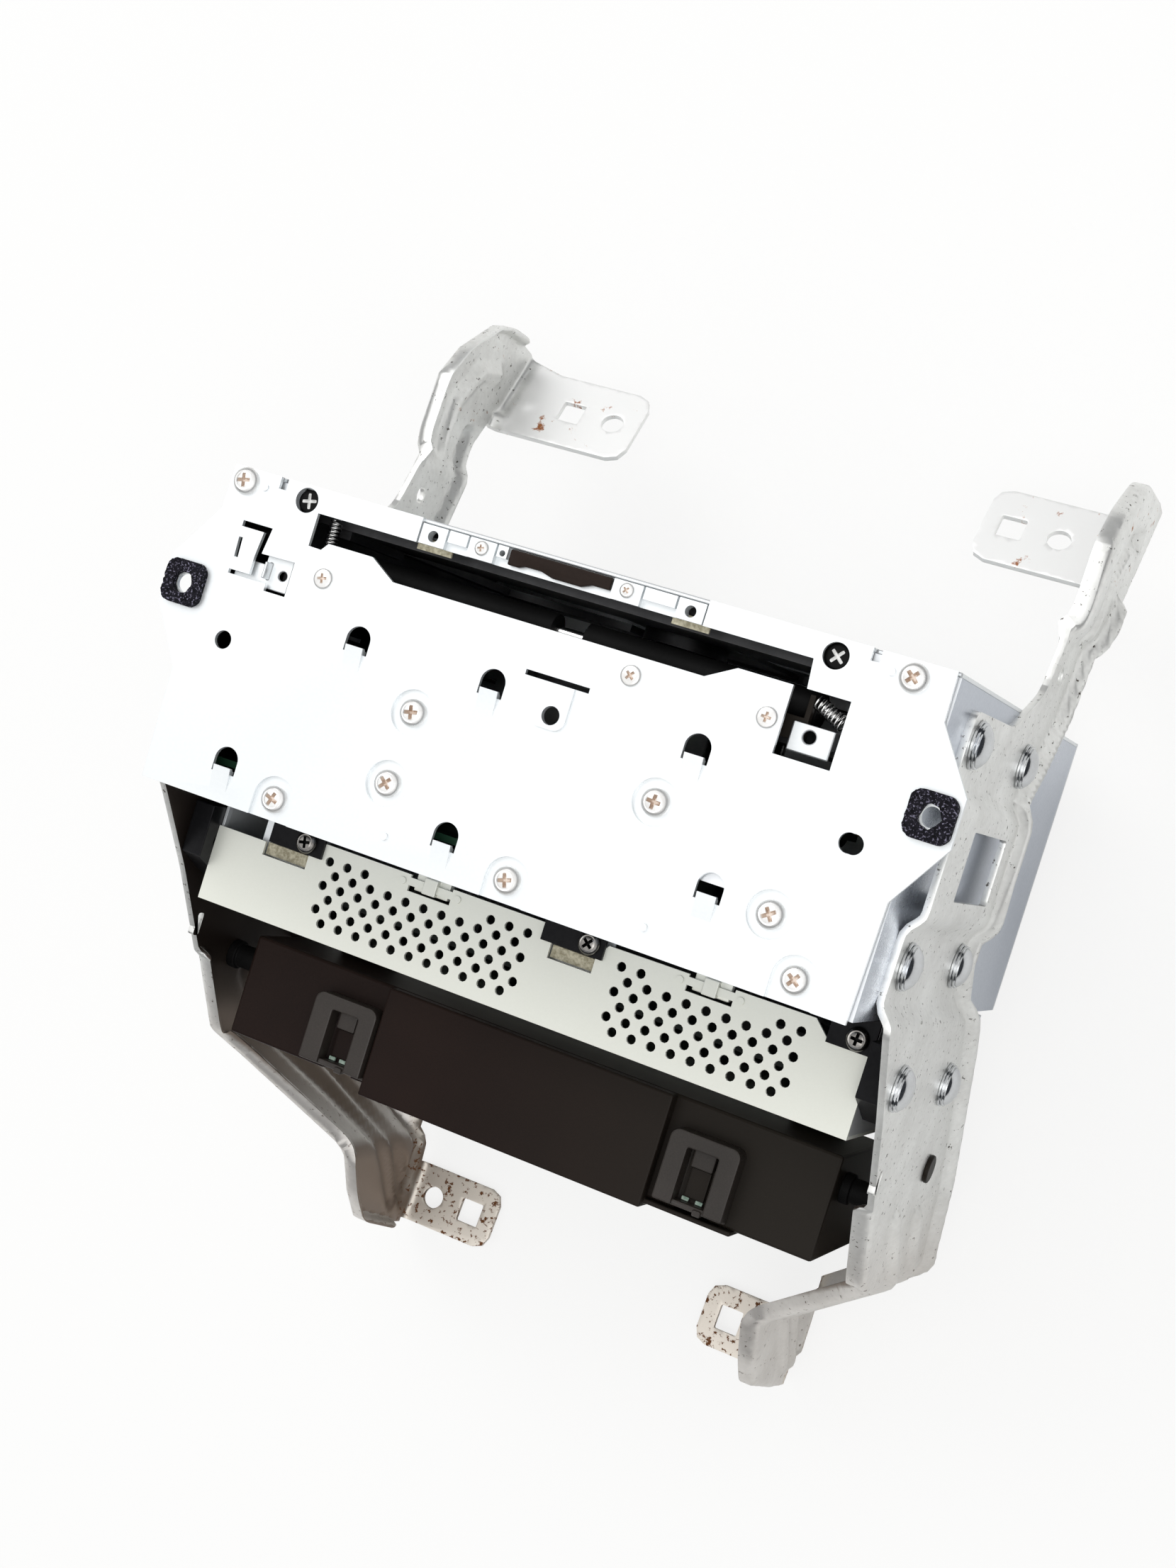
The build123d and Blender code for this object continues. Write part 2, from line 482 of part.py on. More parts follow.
with BuildPart() as module_cover:
    front_cut(COVER, MOD_FRONT - MOD_SHEET, MOD_FRONT)
    slab(-MOD_X, MOD_X, MOD_LOW, MOD_LOW + MOD_SHEET, MOD_REAR, MOD_FRONT)
    for x in CLIPS:
        slab(x - 5.8, x + 5.8, -20.2, -18.8, MOD_FRONT - MOD_SHEET, MOD_FRONT, Mode.SUBTRACT)
        for side in (-1, 1):
            slot = sorted((x + side * 1.7, x + side * 5.8))
            slab(slot[0], slot[1], -16.9, -15.0, MOD_FRONT - MOD_SHEET, MOD_FRONT, Mode.SUBTRACT)
            rod_z(x + side * 7.6, -18.2, 0.9, MOD_FRONT, MOD_FRONT + 0.4)
    with BuildSketch(Plane.XY.offset(MOD_FRONT - MOD_SHEET)) as holes:
        spots = []
        for first, even, odd, skip in ((-54.8, 12, 11, range(3, 9)), (24.9, 10, 9, range(2, 8))):
            for row in range(6):
                count = odd if row % 2 else even
                shift = PERF_X / 2 if row % 2 else 0.0
                for k in range(count):
                    if row == 0 and k in skip:
                        continue
                    spots.append((first + shift + k * PERF_X, -20.0 - row * PERF_Y))
        with Locations(spots):
            RegularPolygon(PERF_R * 1.03, 10)
    extrude(holes.sketch, amount=MOD_SHEET, mode=Mode.SUBTRACT)

with BuildPart() as module_clips:
    for x in CLIPS:
        slab(x - 1.8, x + 1.8, -19.6, -18.9, MOD_FRONT - 3.0, MOD_FRONT + 0.1)
        slab(x - 1.8, x + 1.8, -19.6, -15.6, MOD_FRONT + 0.1, MOD_FRONT + 0.8)
        slab(x - 1.8, x + 1.8, -16.2, -15.6, MOD_FRONT - 3.0, MOD_FRONT + 0.1)
        slab(x - 4.6, x + 4.6, -19.6, -14.0, MOD_FRONT - 3.0, MOD_FRONT - MOD_SHEET - 0.1)

with BuildPart() as module_tray:
    inner = MOD_X - MOD_SHEET
    slab(-MOD_X, MOD_X, MOD_TOP - MOD_SHEET, MOD_TOP, MOD_REAR, MOD_FRONT - 3.0)
    for side in (-1, 1):
        wall = sorted((side * MOD_X, side * inner))
        slab(wall[0], wall[1], MOD_LOW + MOD_SHEET, MOD_TOP, MOD_REAR, MOD_FRONT - MOD_SHEET)
    slab(-MOD_X, MOD_X, MOD_LOW + MOD_SHEET, MOD_TOP, MOD_REAR, MOD_REAR + MOD_SHEET)
    for x0, x1 in ((-76.0, -58.0), (4.0, 21.0), (MOD_X - 11.0, MOD_X)):
        slab(x0, x1, -26.0, MOD_TOP, MOD_FRONT - 3.8, MOD_FRONT - 3.0)
    for x in TAB_SCREW_X:
        rod_z(x, -17.3, 1.6, MOD_FRONT - 4, MOD_FRONT, Mode.SUBTRACT)

with BuildPart() as gasket_strips:
    for x0, x1 in ((-73.0, -61.0), (6.8, 18.0)):
        slab(x0, x1, -23.6, -20.6, MOD_FRONT - 3.0, MOD_FRONT - 1.2)
    for x, wide in (TABS[0], TABS[3]):
        slab(x - 4.4, x + 4.4, 57.3, 60.0, FLANGE_Z - 0.6, FLANGE_Z)

with BuildPart() as module_tabs:
    for (x0, x1), hole in zip(((-72.0, -57.0), (4.0, 20.0), (MOD_X - 11.0, MOD_X)), TAB_SCREW_X):
        slab(x0, x1, -20.2, WALL_LOW, MOD_FRONT, MOD_FRONT + 1.0)
        slab(x0, x1, WALL_LOW - 1.0, WALL_LOW, MOD_FRONT + 1.0, MOD_FRONT + 18.0)
        rod_z(hole, -17.3, 1.6, MOD_FRONT, MOD_FRONT + 1.0, Mode.SUBTRACT)
    slab(3.0 - MOD_X, MOD_X - 3.0, MOD_TOP, WALL_LOW, 40.0, 44.0)

with BuildPart() as module_screws:
    for x in TAB_SCREW_X:
        front_screw(x, -17.3, MOD_FRONT + 1.0, 2.8, 1.5, SHANK_R, 6.0)

with BuildPart() as module_board:
    slab(4.0 - MOD_X, MOD_X - 4.0, -30.0, -28.4, 26.0, MOD_FRONT - 7.0)
    for x in (11.0 - MOD_X, 0.0, MOD_X - 11.0):
        for z in (34.0, MOD_FRONT - 15.0):
            rod_y(x, z, 2.4, MOD_LOW + MOD_SHEET, -30.0)

with BuildPart() as module_chips:
    for x, z, w, d, h in (
        (-40, 86, 28, 28, 2.4), (6, 88, 30, 22, 3.0), (46, 80, 34, 34, 4.0), (0, 50, 44, 26, 6.0),
    ):
        slab(x - w / 2, x + w / 2, -28.4, -28.4 + h, z - d / 2, z + d / 2)

# Black control housing, its raised middle block, snap loops and board
LOOPS = [(-58.6, -40.6), (41.6, 59.8)]
WINDOWS = [(-53.0, -45.4), (46.6, 54.8)]

with BuildPart() as control_housing:
    slab(-HOUSE_X, HOUSE_X, HOUSE_LOW, HOUSE_TOP, HOUSE_REAR, HOUSE_FRONT)
    inner = HOUSE_X - HOUSE_WALL
    low, high = HOUSE_LOW + HOUSE_WALL, HOUSE_TOP - HOUSE_WALL
    slab(-inner, inner, low, high, HOUSE_REAR, HOUSE_FRONT - HOUSE_WALL, Mode.SUBTRACT)
    for x0, x1 in WINDOWS:
        slab(x0, x1, HOUSE_LOW, -57.6, HOUSE_FRONT - HOUSE_WALL, HOUSE_FRONT, Mode.SUBTRACT)
    for side in (-1, 1):
        x0, x1 = sorted((side * 60.0, side * 72.0))
        slab(x0, x1, HOUSE_TOP, MOD_LOW, HOUSE_REAR, HOUSE_REAR + 14.0)

with BuildPart() as housing_block:
    slab(BLOCK_L, BLOCK_R, HOUSE_LOW, HOUSE_TOP, HOUSE_FRONT, BLOCK_FRONT)
    slab(BLOCK_L, BLOCK_R, BLOCK_LOW, HOUSE_LOW, HOUSE_FRONT - 12.0, BLOCK_FRONT)
    slab(BLOCK_R, 62.0, -74.6, HOUSE_LOW, HOUSE_FRONT - 12.0, HOUSE_FRONT + 2.0)

with BuildPart() as snap_loops:
    for (x0, x1), (w0, w1) in zip(LOOPS, WINDOWS):
        with BuildSketch(Plane.XY.offset(HOUSE_FRONT)) as loop:
            with BuildLine():
                Polyline((x0, -71.8), (x0, -54.0), (x1, -54.0), (x1, -71.8), (w1, -71.8), (w1, -57.6),
                         (w0, -57.6), (w0, -71.8), close=True)
            make_face()
            fillet(loop.vertices().group_by(Axis.Y)[-1], 2.4)
        extrude(loop.sketch, amount=LOOP_T)
        slab(w0 + 1.2, w1 - 1.2, -62.0, -57.6, HOUSE_FRONT - 4.0, HOUSE_FRONT + 2.6)
        slab(x0, x1, -72.6, -71.8, HOUSE_FRONT, HOUSE_FRONT + 1.2)

with BuildPart() as control_board:
    slab(3.9 - HOUSE_X, HOUSE_X - 3.9, -71.0, -69.6, HOUSE_REAR + 6.0, HOUSE_FRONT - 3.0)
    for x in (11.9 - HOUSE_X, -20.0, 20.0, HOUSE_X - 11.9):
        slab(x - 2, x + 2, HOUSE_LOW + HOUSE_WALL, -71.0, HOUSE_REAR + 8.0, HOUSE_REAR + 14.0)

with BuildPart() as bumpers:
    for side in (-1, 1):
        x0, x1 = sorted((side * HOUSE_X, side * (RAISED_OUT - STEEL)))
        rod_x(BUMPER_Y, BUMPER_Z, BUMPER_R - 0.7, x0, x1)
        for a in (x0, x1 - 2.4):
            rod_x(BUMPER_Y, BUMPER_Z, BUMPER_R, a, a + 2.4)

# Side brackets: one folded strip seen from the front, cut to its side outline
FOLD = [
    (ARM_OUT, -TIP_Y), (ARM_OUT, -104.0), (RAISED_OUT, -79.0), (RAISED_OUT, -10.0), (PAD_OUT, -7.0),
    (PAD_OUT, 10.0), (RAISED_OUT, 13.0), (RAISED_OUT, 39.0), (PAD_OUT, 42.4), (PAD_OUT, 85.4),
    (PAD_OUT + 2.5, 87.6), (RAISED_OUT, 93.0), (RAISED_OUT, TIP_Y),
]
SIDE = behind([
    (-TIP_Y, 169.4), (-104.0, 168.4), (-90.0, 158.0), (-74.4, 147.0), (-55.0, 140.0), (-42.0, 130.0),
    (-19.5, 114.0), (3.0, 92.0), (30.0, 90.5), (43.5, 91.0), (50.0, 100.0), (65.0, 112.5), (84.6, 118.0),
    (99.0, 122.0), (102.6, 127.6), (122.4, 139.2), (TIP_Y - 1.6, 128.0), (TIP_Y, 118.0),
    (TIP_Y - 1.8, 111.0), (118.0, 97.0), (109.0, 90.0), (86.0, 88.6), (70.0, 82.0), (59.2, 60.0),
    (58.6, 18.0), (42.0, 17.4), (-12.0, 16.4), (-15.0, 19.6), (-33.5, 38.0), (-56.7, 58.3), (-64.8, 65.1),
    (-76.5, 75.1), (-84.0, 87.0), (-103.5, 117.0), (-123.0, 141.0), (-TIP_Y, 164.0),
])
BEAD_LINE = behind([
    (-118.0, 164.0), (-104.0, 163.0), (-88.0, 152.0), (-74.0, 142.0), (-55.0, 135.0), (-42.0, 125.5),
    (-19.5, 109.0), (2.0, 89.0), (30.0, 87.0), (43.0, 87.6), (52.0, 96.4), (66.5, 108.0), (84.0, 113.6),
    (98.0, 117.6),
])
ARM_BEAD = behind([(89.0, 102.0), (104.0, 103.0), (116.0, 112.0), (121.0, 122.0)])
LOW_BEADS = [
    behind([(-60.0, 84.0), (-76.0, 102.0), (-92.0, 124.0), (-108.0, 142.0), (-122.0, 156.0)]),
    behind([(-62.0, 110.0), (-76.0, 122.0), (-94.0, 138.0), (-110.0, 153.0), (-122.0, 163.0)]),
]
FEET = [
    (ARM_OUT, LOW_FOOT_Y, LOW_FOOT_Z, LOW_FOOT_TILT, ARM_OUT - 34.2, LOW_FOOT_W, 4.0),
    (RAISED_OUT, UP_FOOT_Y, UP_FOOT_Z, UP_FOOT_TILT, RAISED_OUT - 51.0, UP_FOOT_W, 4.5),
]
BRACKET_SLOTS = [(18.0, 34.0, 74.0, 37.0), (73.0, 78.4, 95.4, 92.0), (-51.0, -45.0, 54.0, 51.4)]
BRACKET_SCREWS = [(y, z, PAD_OUT) for y, z in SIDE_SCREWS] + [(y, z, RAISED_OUT) for y, z in MODULE_SCREWS]


def shifted(points, amount):
    moved = []
    for i, (x, y) in enumerate(points):
        before = points[max(i - 1, 0)]
        after = points[min(i + 1, len(points) - 1)]
        normals = []
        for a, b in ((before, (x, y)), ((x, y), after)):
            length = math.dist(a, b)
            if length:
                normals.append(((b[1] - a[1]) / length, (a[0] - b[0]) / length))
        nx = sum(n[0] for n in normals) / len(normals)
        ny = sum(n[1] for n in normals) / len(normals)
        scale = amount / (nx * nx + ny * ny)
        moved.append((x + nx * scale, y + ny * scale))
    return moved


def band(points, width):
    left = shifted(points, width / 2)
    right = shifted(points, -width / 2)
    return left + right[::-1]


def folded(low, high):
    with BuildSketch() as strip:
        with BuildLine():
            Polyline(*shifted(FOLD, low), *shifted(FOLD, high)[::-1], close=True)
        make_face()
        fillet([v for v in strip.vertices() if abs(v.Y) < TIP_Y - 4.0], BEND_R)
    extrude(strip.sketch, amount=FRONT)


def bead(points, width, height):
    with BuildPart(mode=Mode.PRIVATE) as rib:
        folded(-0.2, height)
        with BuildPart(mode=Mode.PRIVATE) as guide:
            side_cut(band(points, width), 40.0, 110.0)
        add(guide.part, mode=Mode.INTERSECT)
    return rib.part


def foot(length, width, corner):
    with BuildPart(mode=Mode.PRIVATE) as plate:
        with BuildSketch(Plane.XZ) as profile:
            with BuildLine():
                Polyline((0, FOOT_RISE), (0, -STEEL), (-length, -STEEL), (-length, 0), (-STEEL, 0),
                         (-STEEL, FOOT_RISE), close=True)
            make_face()
            corners = profile.vertices().filter_by_position(Axis.X, -STEEL - 0.1, 0.1)
            low = corners.filter_by_position(Axis.Y, -STEEL - 0.1, -STEEL + 0.1)
            inner = corners.filter_by_position(Axis.Y, -0.1, 0.1)
            fillet(low, FOOT_BEND)
            fillet(profile.vertices().sort_by_distance(inner[0])[0], FOOT_BEND - STEEL)
        extrude(profile.sketch, amount=width / 2, both=True)
        fillet(plate.edges().filter_by(Axis.Z).group_by(Axis.X)[0], corner)
    return plate.part


def bracket(low_round, low_square, up_round, up_square):
    with BuildPart(mode=Mode.PRIVATE) as body:
        folded(-STEEL, 0.0)
        with BuildPart(mode=Mode.PRIVATE) as side:
            with BuildSketch(Plane.YZ.offset(40.0)) as shape:
                with BuildLine():
                    Polyline(*SIDE, close=True)
                make_face()
                fillet(shape.vertices(), CORNER_R)
            extrude(amount=70.0)
        add(side.part, mode=Mode.INTERSECT)
        add(bead(BEAD_LINE, 6.0, BEAD))
        add(bead(ARM_BEAD, 5.0, 1.8))
        for points in LOW_BEADS:
            add(bead(points, 5.0, 1.8))
        for x, y, z, tilt, length, width, corner in FEET:
            place = Pos(x, y, z) * Rot(-tilt, 0, 0)
            with Locations(place * Pos(0, 0, FOOT_BEND - STEEL - 6.0)):
                Box(8.0, width + 0.8, 12.0, mode=Mode.SUBTRACT)
            with Locations(place):
                add(foot(length, width, corner))
        for y, z, face in BRACKET_SCREWS:
            rod_x(y, z, DOME_SHANK_R + SHANK_FIT, face - 4, face + 6, Mode.SUBTRACT)
        x0, x1 = PAD_OUT - 3.0, RAISED_OUT + 4.0
        for y0, y1, rear, front in BRACKET_SLOTS:
            slab(x0, x1, y0, y1, FRONT - rear, FRONT - front, Mode.SUBTRACT)
        rod_x(CLIP_Y, CLIP_Z, 2.2, x0, x1, Mode.SUBTRACT)
        for hole, square, y, z, tilt in (
            (low_round, low_square, LOW_FOOT_Y, LOW_FOOT_Z, LOW_FOOT_TILT),
            (up_round, up_square, UP_FOOT_Y, UP_FOOT_Z, UP_FOOT_TILT),
        ):
            with Locations(Pos(hole, y, z) * Rot(-tilt, 0, 0)):
                Cylinder(FOOT_HOLE_R, 8.0, mode=Mode.SUBTRACT)
            with Locations(Pos(square, y, z) * Rot(-tilt, 0, 0)):
                Box(FOOT_SQUARE, FOOT_SQUARE, 8.0, mode=Mode.SUBTRACT)
    return body.part


with BuildPart() as right_bracket:
    add(bracket(LOW_HOLE_OUT, LOW_HOLE_IN, UP_HOLE_OUT, UP_HOLE_IN))

with BuildPart() as left_bracket:
    add(bracket(LOW_HOLE_OUT, LOW_HOLE_IN, UP_HOLE_IN, UP_HOLE_OUT).mirror(Plane.YZ))

with BuildPart() as bracket_screws:
    for side in (-1, 1):
        for y, z, face in BRACKET_SCREWS:
            with BuildPart(mode=Mode.PRIVATE) as screw:
                Cylinder(DOME_SHANK_R, DOME_SHANK, align=(Align.CENTER, Align.CENTER, Align.MAX))
                Cylinder(DOME_R, DOME_T, align=(Align.CENTER, Align.CENTER, Align.MIN))
                fillet(screw.edges().group_by(Axis.Z)[-1], DOME_T - 0.5)
            with Locations(Pos(side * face, y, z) * Rot(0, side * 90, 0)):
                add(screw.part)

with BuildPart() as module_ears:
    for side in (-1, 1):
        x0, x1 = sorted((side * MOD_X, side * (RAISED_OUT - STEEL)))
        rear = MOD_FRONT - 63.0
        front = MOD_FRONT + 5.0
        ear = [(-35.0, rear), (-16.0, rear), (-16.0, front), (-29.0, front), (-35.0, front - 14.0)]
        side_cut(ear, x0, x1)
        cut = sorted((side * (MOD_X + 1.0), side * (RAISED_OUT - STEEL - 1.0)))
        slab(cut[0], cut[1], -36.0, -17.2, rear - 4.0, front - 16.0, Mode.SUBTRACT)
        for y, z, face in BRACKET_SCREWS[4:]:
            rod_x(y, z, DOME_SHANK_R + SHANK_FIT, x0 - 1, x1 + 1, Mode.SUBTRACT)

with BuildPart() as push_clips:
    for side in (-1, 1):
        for r, a, b in ((2.1, RAISED_OUT - STEEL - 4.0, RAISED_OUT), (3.6, RAISED_OUT, RAISED_OUT + 1.2)):
            low, high = sorted((side * a, side * b))
            rod_x(CLIP_Y, CLIP_Z, r, low, high)

# Mechanism deck with its side walls, gear plate and rod posts
IDLER_D = GEAR_M * (ROLLER_TEETH + IDLER_TEETH) / 2
PINION_D = GEAR_M * (IDLER_TEETH + PINION_TEETH) / 2
IDLER_Z = ROLLER_Z + IDLER_D * math.sin(math.radians(IDLER_DIR))
IDLER_Y = ROLLER_Y + IDLER_D * math.cos(math.radians(IDLER_DIR))
PINION_Y = IDLER_Y + PINION_D * math.cos(math.radians(PINION_DIR))
PINION_Z = IDLER_Z + PINION_D * math.sin(math.radians(PINION_DIR))
DECK_TOP = DECK_Y + DECK_T
SLED_R = GEAR_M * SLED_TEETH / 2
DRIVE_X = RACK_X + SLED_R

with BuildPart() as mech_deck:
    slab(-DECK_X, DECK_X, DECK_Y, DECK_TOP, 26.0, FLANGE_Z - 5.2)
    for side in (-1, 1):
        wall = sorted((side * DECK_X, side * (DECK_X - 1.0)))
        slab(wall[0], wall[1], DECK_TOP, 57.0, 26.0, FLANGE_Z - 1.2)
        rod_x(ROLLER_Y, ROLLER_Z, AXLE_R + AXLE_FIT, wall[0], wall[1], Mode.SUBTRACT)
        for z in (40.0, 112.0):
            ear = sorted((side * DECK_X, side * (HALF_W - 3.0)))
            slab(ear[0], ear[1], DECK_Y, DECK_TOP, z - 6, z + 6)
        post = sorted((side * 20.0, side * 23.0))
        slab(post[0], post[1], DECK_TOP, 61.4, CLAMP_PIVOT_Z - 4, CLAMP_PIVOT_Z + 4)
        for z in (104.0, ROLLER_Z - 10.0):
            slab(side * ROD_X - 2.5, side * ROD_X + 2.5, DECK_TOP, ROD_Y + 2.5, z - 1.5, z + 1.5)
        rod_z(side * ROD_X, ROD_Y, ROD_R, 100.0, ROLLER_Z - 6.0, Mode.SUBTRACT)
    slab(DECK_X - 1.0, DECK_X, 24.0, DECK_Y, ROLLER_Z - 22.0, ROLLER_Z + 6.0)
    rod_x(PINION_Y, PINION_Z, 1.3, DECK_X - 2, DECK_X + 1, Mode.SUBTRACT)
    rod_x(IDLER_Y, IDLER_Z, AXLE_R, DECK_X, GEAR_X + GEAR_T + 1)
    rod_x(CLAMP_Y, CLAMP_PIVOT_Z, AXLE_R + AXLE_FIT, -24.0, 24.0, Mode.SUBTRACT)
    rod_y(DRIVE_X, DRIVE_Z, 1.4, DECK_Y, DECK_TOP, Mode.SUBTRACT)

with BuildPart() as dampers:
    for x in (10.0 - HALF_W, HALF_W - 10.0):
        for z in (40.0, 112.0):
            rod_y(x, z, 5.0, 33.8, 36.0)
            rod_y(x, z, 4.0, 36.0, 38.0)
            rod_y(x, z, 5.0, 38.0, DECK_Y)

with BuildPart() as disc_guide:
    slab(-DECK_X, DECK_X, 57.0, 59.0, 132.0, FLANGE_Z - 5.2)
    for x in (9.0 - DECK_X, DECK_X - 9.0):
        slab(x - 1.5, x + 1.5, 55.0, 57.0, 134.0, FLANGE_Z - 7.2)
    slab(-DECK_X, DECK_X, 57.0, 59.0, 40.0, 64.0)
    for side in (-1, 1):
        bar = sorted((side * DECK_X, side * (DECK_X - 8.0)))
        slab(bar[0], bar[1], 57.0, 59.0, 64.0, 132.0)
    slab(-25.0, 25.0, 57.0, 59.0, 40.0, 64.0, Mode.SUBTRACT)

with BuildPart() as slot_lip:
    left = 10.0 - DECK_X
    right = DECK_X - 16.0
    slab(left, right, DECK_TOP, 46.2, FLANGE_Z - 5.0, FLANGE_Z - 0.2)
    slab(left, right, DECK_Y, DECK_TOP, FLANGE_Z - 5.2, FLANGE_Z - 0.2)
    slab(left - 3.2, left, DECK_Y, 50.0, FLANGE_Z - 4.6, FLANGE_Z - 1.0)
    slab(right, right + 5.8, DECK_TOP, 46.2, FLANGE_Z - 4.6, FLANGE_Z - 2.4)
    slab(right + 4.6, right + 5.8, 46.2, 51.4, FLANGE_Z - 4.4, FLANGE_Z - 2.4)

with BuildPart() as felt_pads:
    for x in (-22.0, 26.0):
        slab(x - 4.2, x + 4.2, 46.2, 46.8, FLANGE_Z - 4.8, FLANGE_Z - 0.4)

with BuildPart() as loading_roller:
    rod_x(ROLLER_Y, ROLLER_Z, AXLE_R, -DECK_X - 2.0, GEAR_X + GEAR_T)
    gear((GEAR_X, ROLLER_Y, ROLLER_Z), (1, 0, 0), ROLLER_TEETH, GEAR_T, IDLER_DIR)

with BuildPart() as roller_sleeves:
    for side in (-1, 1):
        a, b = sorted((side * 4.0, side * (DECK_X - 10.0)))
        rod_x(ROLLER_Y, ROLLER_Z, ROLLER_R, a, b)
    rod_x(ROLLER_Y, ROLLER_Z, AXLE_R, -DECK_X, DECK_X, Mode.SUBTRACT)

with BuildPart() as idler_gear:
    turn = IDLER_DIR + 180 + 180 / IDLER_TEETH
    gear((GEAR_X, IDLER_Y, IDLER_Z), (1, 0, 0), IDLER_TEETH, GEAR_T, turn)
    rod_x(IDLER_Y, IDLER_Z, AXLE_R + AXLE_FIT, GEAR_X, GEAR_X + GEAR_T, Mode.SUBTRACT)

with BuildPart() as motor_pinion:
    idler_turn = IDLER_DIR + 180 + 180 / IDLER_TEETH
    share = ((PINION_DIR - idler_turn) * IDLER_TEETH / 360) % 1.0
    turn = PINION_DIR + 180 + (0.5 + share) * 360 / PINION_TEETH
    gear((GEAR_X, PINION_Y, PINION_Z), (1, 0, 0), PINION_TEETH, GEAR_T, turn)
    rod_x(PINION_Y, PINION_Z, 1.0, DECK_X - 4.0, GEAR_X)

with BuildPart() as loading_motor:
    rod_x(PINION_Y, PINION_Z, 7.0, DECK_X - 24.0, DECK_X - 1.0)
    rod_x(PINION_Y, PINION_Z, 1.0 + AXLE_FIT, DECK_X - 5.0, DECK_X, Mode.SUBTRACT)

with BuildPart() as turntable:
    rod_y(0.0, DISC_Z, 14.0, 50.6, 52.6)
    rod_y(0.0, DISC_Z, 7.2, 52.6, 54.2)
    rod_y(0.0, DISC_Z, 1.2, 43.4, 50.6)

with BuildPart() as spindle_motor:
    rod_y(0.0, DISC_Z, 13.0, DECK_TOP, 49.8)
    rod_y(0.0, DISC_Z, 1.2 + AXLE_FIT, 43.0, 50.0, Mode.SUBTRACT)

with BuildPart() as clamp_arm:
    slab(-15.0, 15.0, CLAMP_Y - 0.6, CLAMP_Y + 0.6, CLAMP_PIVOT_Z - 3, 100.0)
    slab(-18.4, 18.4, CLAMP_Y - 1.5, CLAMP_Y + 1.5, CLAMP_PIVOT_Z - 2, CLAMP_PIVOT_Z + 2)
    rod_x(CLAMP_Y, CLAMP_PIVOT_Z, AXLE_R, -22.6, 22.6)

with BuildPart() as clamp_puck:
    rod_y(0.0, DISC_Z, 11.0, 55.4, CLAMP_Y - 0.6)
    rod_y(0.0, DISC_Z, 7.6, 54.4, 56.0, Mode.SUBTRACT)

with BuildPart() as guide_rods:
    for side in (-1, 1):
        rod_z(side * ROD_X, ROD_Y, ROD_R, 100.2, ROLLER_Z - 6.2)

with BuildPart() as pickup_sled:
    slab(-20.0, 20.0, 43.0, 48.0, SLED_HOME - 9, SLED_HOME + 9)
    for side in (-1, 1):
        slab(side * ROD_X - 4.0, side * ROD_X + 4.0, 42.6, 48.4, SLED_HOME - 6, SLED_HOME + 6)
        rod_z(side * ROD_X, ROD_Y, ROD_R + AXLE_FIT, SLED_HOME - 7, SLED_HOME + 7, Mode.SUBTRACT)
    root = RACK_X - GEAR_M * 1.25
    slab(ROD_X + 3.0, root, 42.4, 44.4, SLED_HOME - 6, SLED_HOME + 6)
    slab(root - 1.6, root, 42.4, 44.4, SLED_HOME - 18, SLED_HOME + 18)
    pitch = math.pi * GEAR_M
    first = math.ceil((SLED_HOME - 17.4 - DRIVE_Z) / pitch - 0.5) + 0.5
    for i in range(22):
        z = DRIVE_Z + (first + i) * pitch
        tip = RACK_X + 0.42
        tooth = [(root - 0.1, 0.45 - z), (tip, 0.2 - z), (tip, -0.2 - z), (root - 0.1, -0.45 - z)]
        outline(Plane((0, 42.4, 0), x_dir=(1, 0, 0), z_dir=(0, 1, 0)), tooth, 2.0)

with BuildPart() as pickup_lens:
    rod_y(0.0, SLED_HOME - 3.0, 4.0, 48.0, 49.4)
    rod_y(0.0, SLED_HOME - 3.0, 2.4, 49.4, 50.2)

with BuildPart() as sled_pinion:
    gear((DRIVE_X, 42.4, DRIVE_Z), (0, 1, 0), SLED_TEETH, 2.0, 90.0)
    rod_y(DRIVE_X, DRIVE_Z, 1.2, 37.0, 42.4)

with BuildPart() as sled_motor:
    rod_y(DRIVE_X, DRIVE_Z, 9.0, 26.0, DECK_Y)
    rod_y(DRIVE_X, DRIVE_Z, 1.2 + AXLE_FIT, 36.6, DECK_Y, Mode.SUBTRACT)


# Coil springs of the floating deck, each one unbroken wire
def biarc(p0, t0, p1, t1):
    v = p1 - p0
    t = t0 + t1
    spread = 2 * (1 - t0.dot(t1))
    d = (math.sqrt(v.dot(t) ** 2 + spread * v.dot(v)) - v.dot(t)) / spread
    joint = (p0 + p1 + (t0 - t1) * d) * 0.5
    arcs = []
    for start, corner, end in ((p0, p0 + t0 * d, joint), (joint, p1 - t1 * d, p1)):
        middle = (start + end) * 0.5
        rise = corner - middle
        half = (end - start).length / 2
        sagitta = half * math.tan(math.atan2(rise.length, half) / 2)
        arcs.append((start, middle + rise.normalized() * sagitta, end))
    return arcs


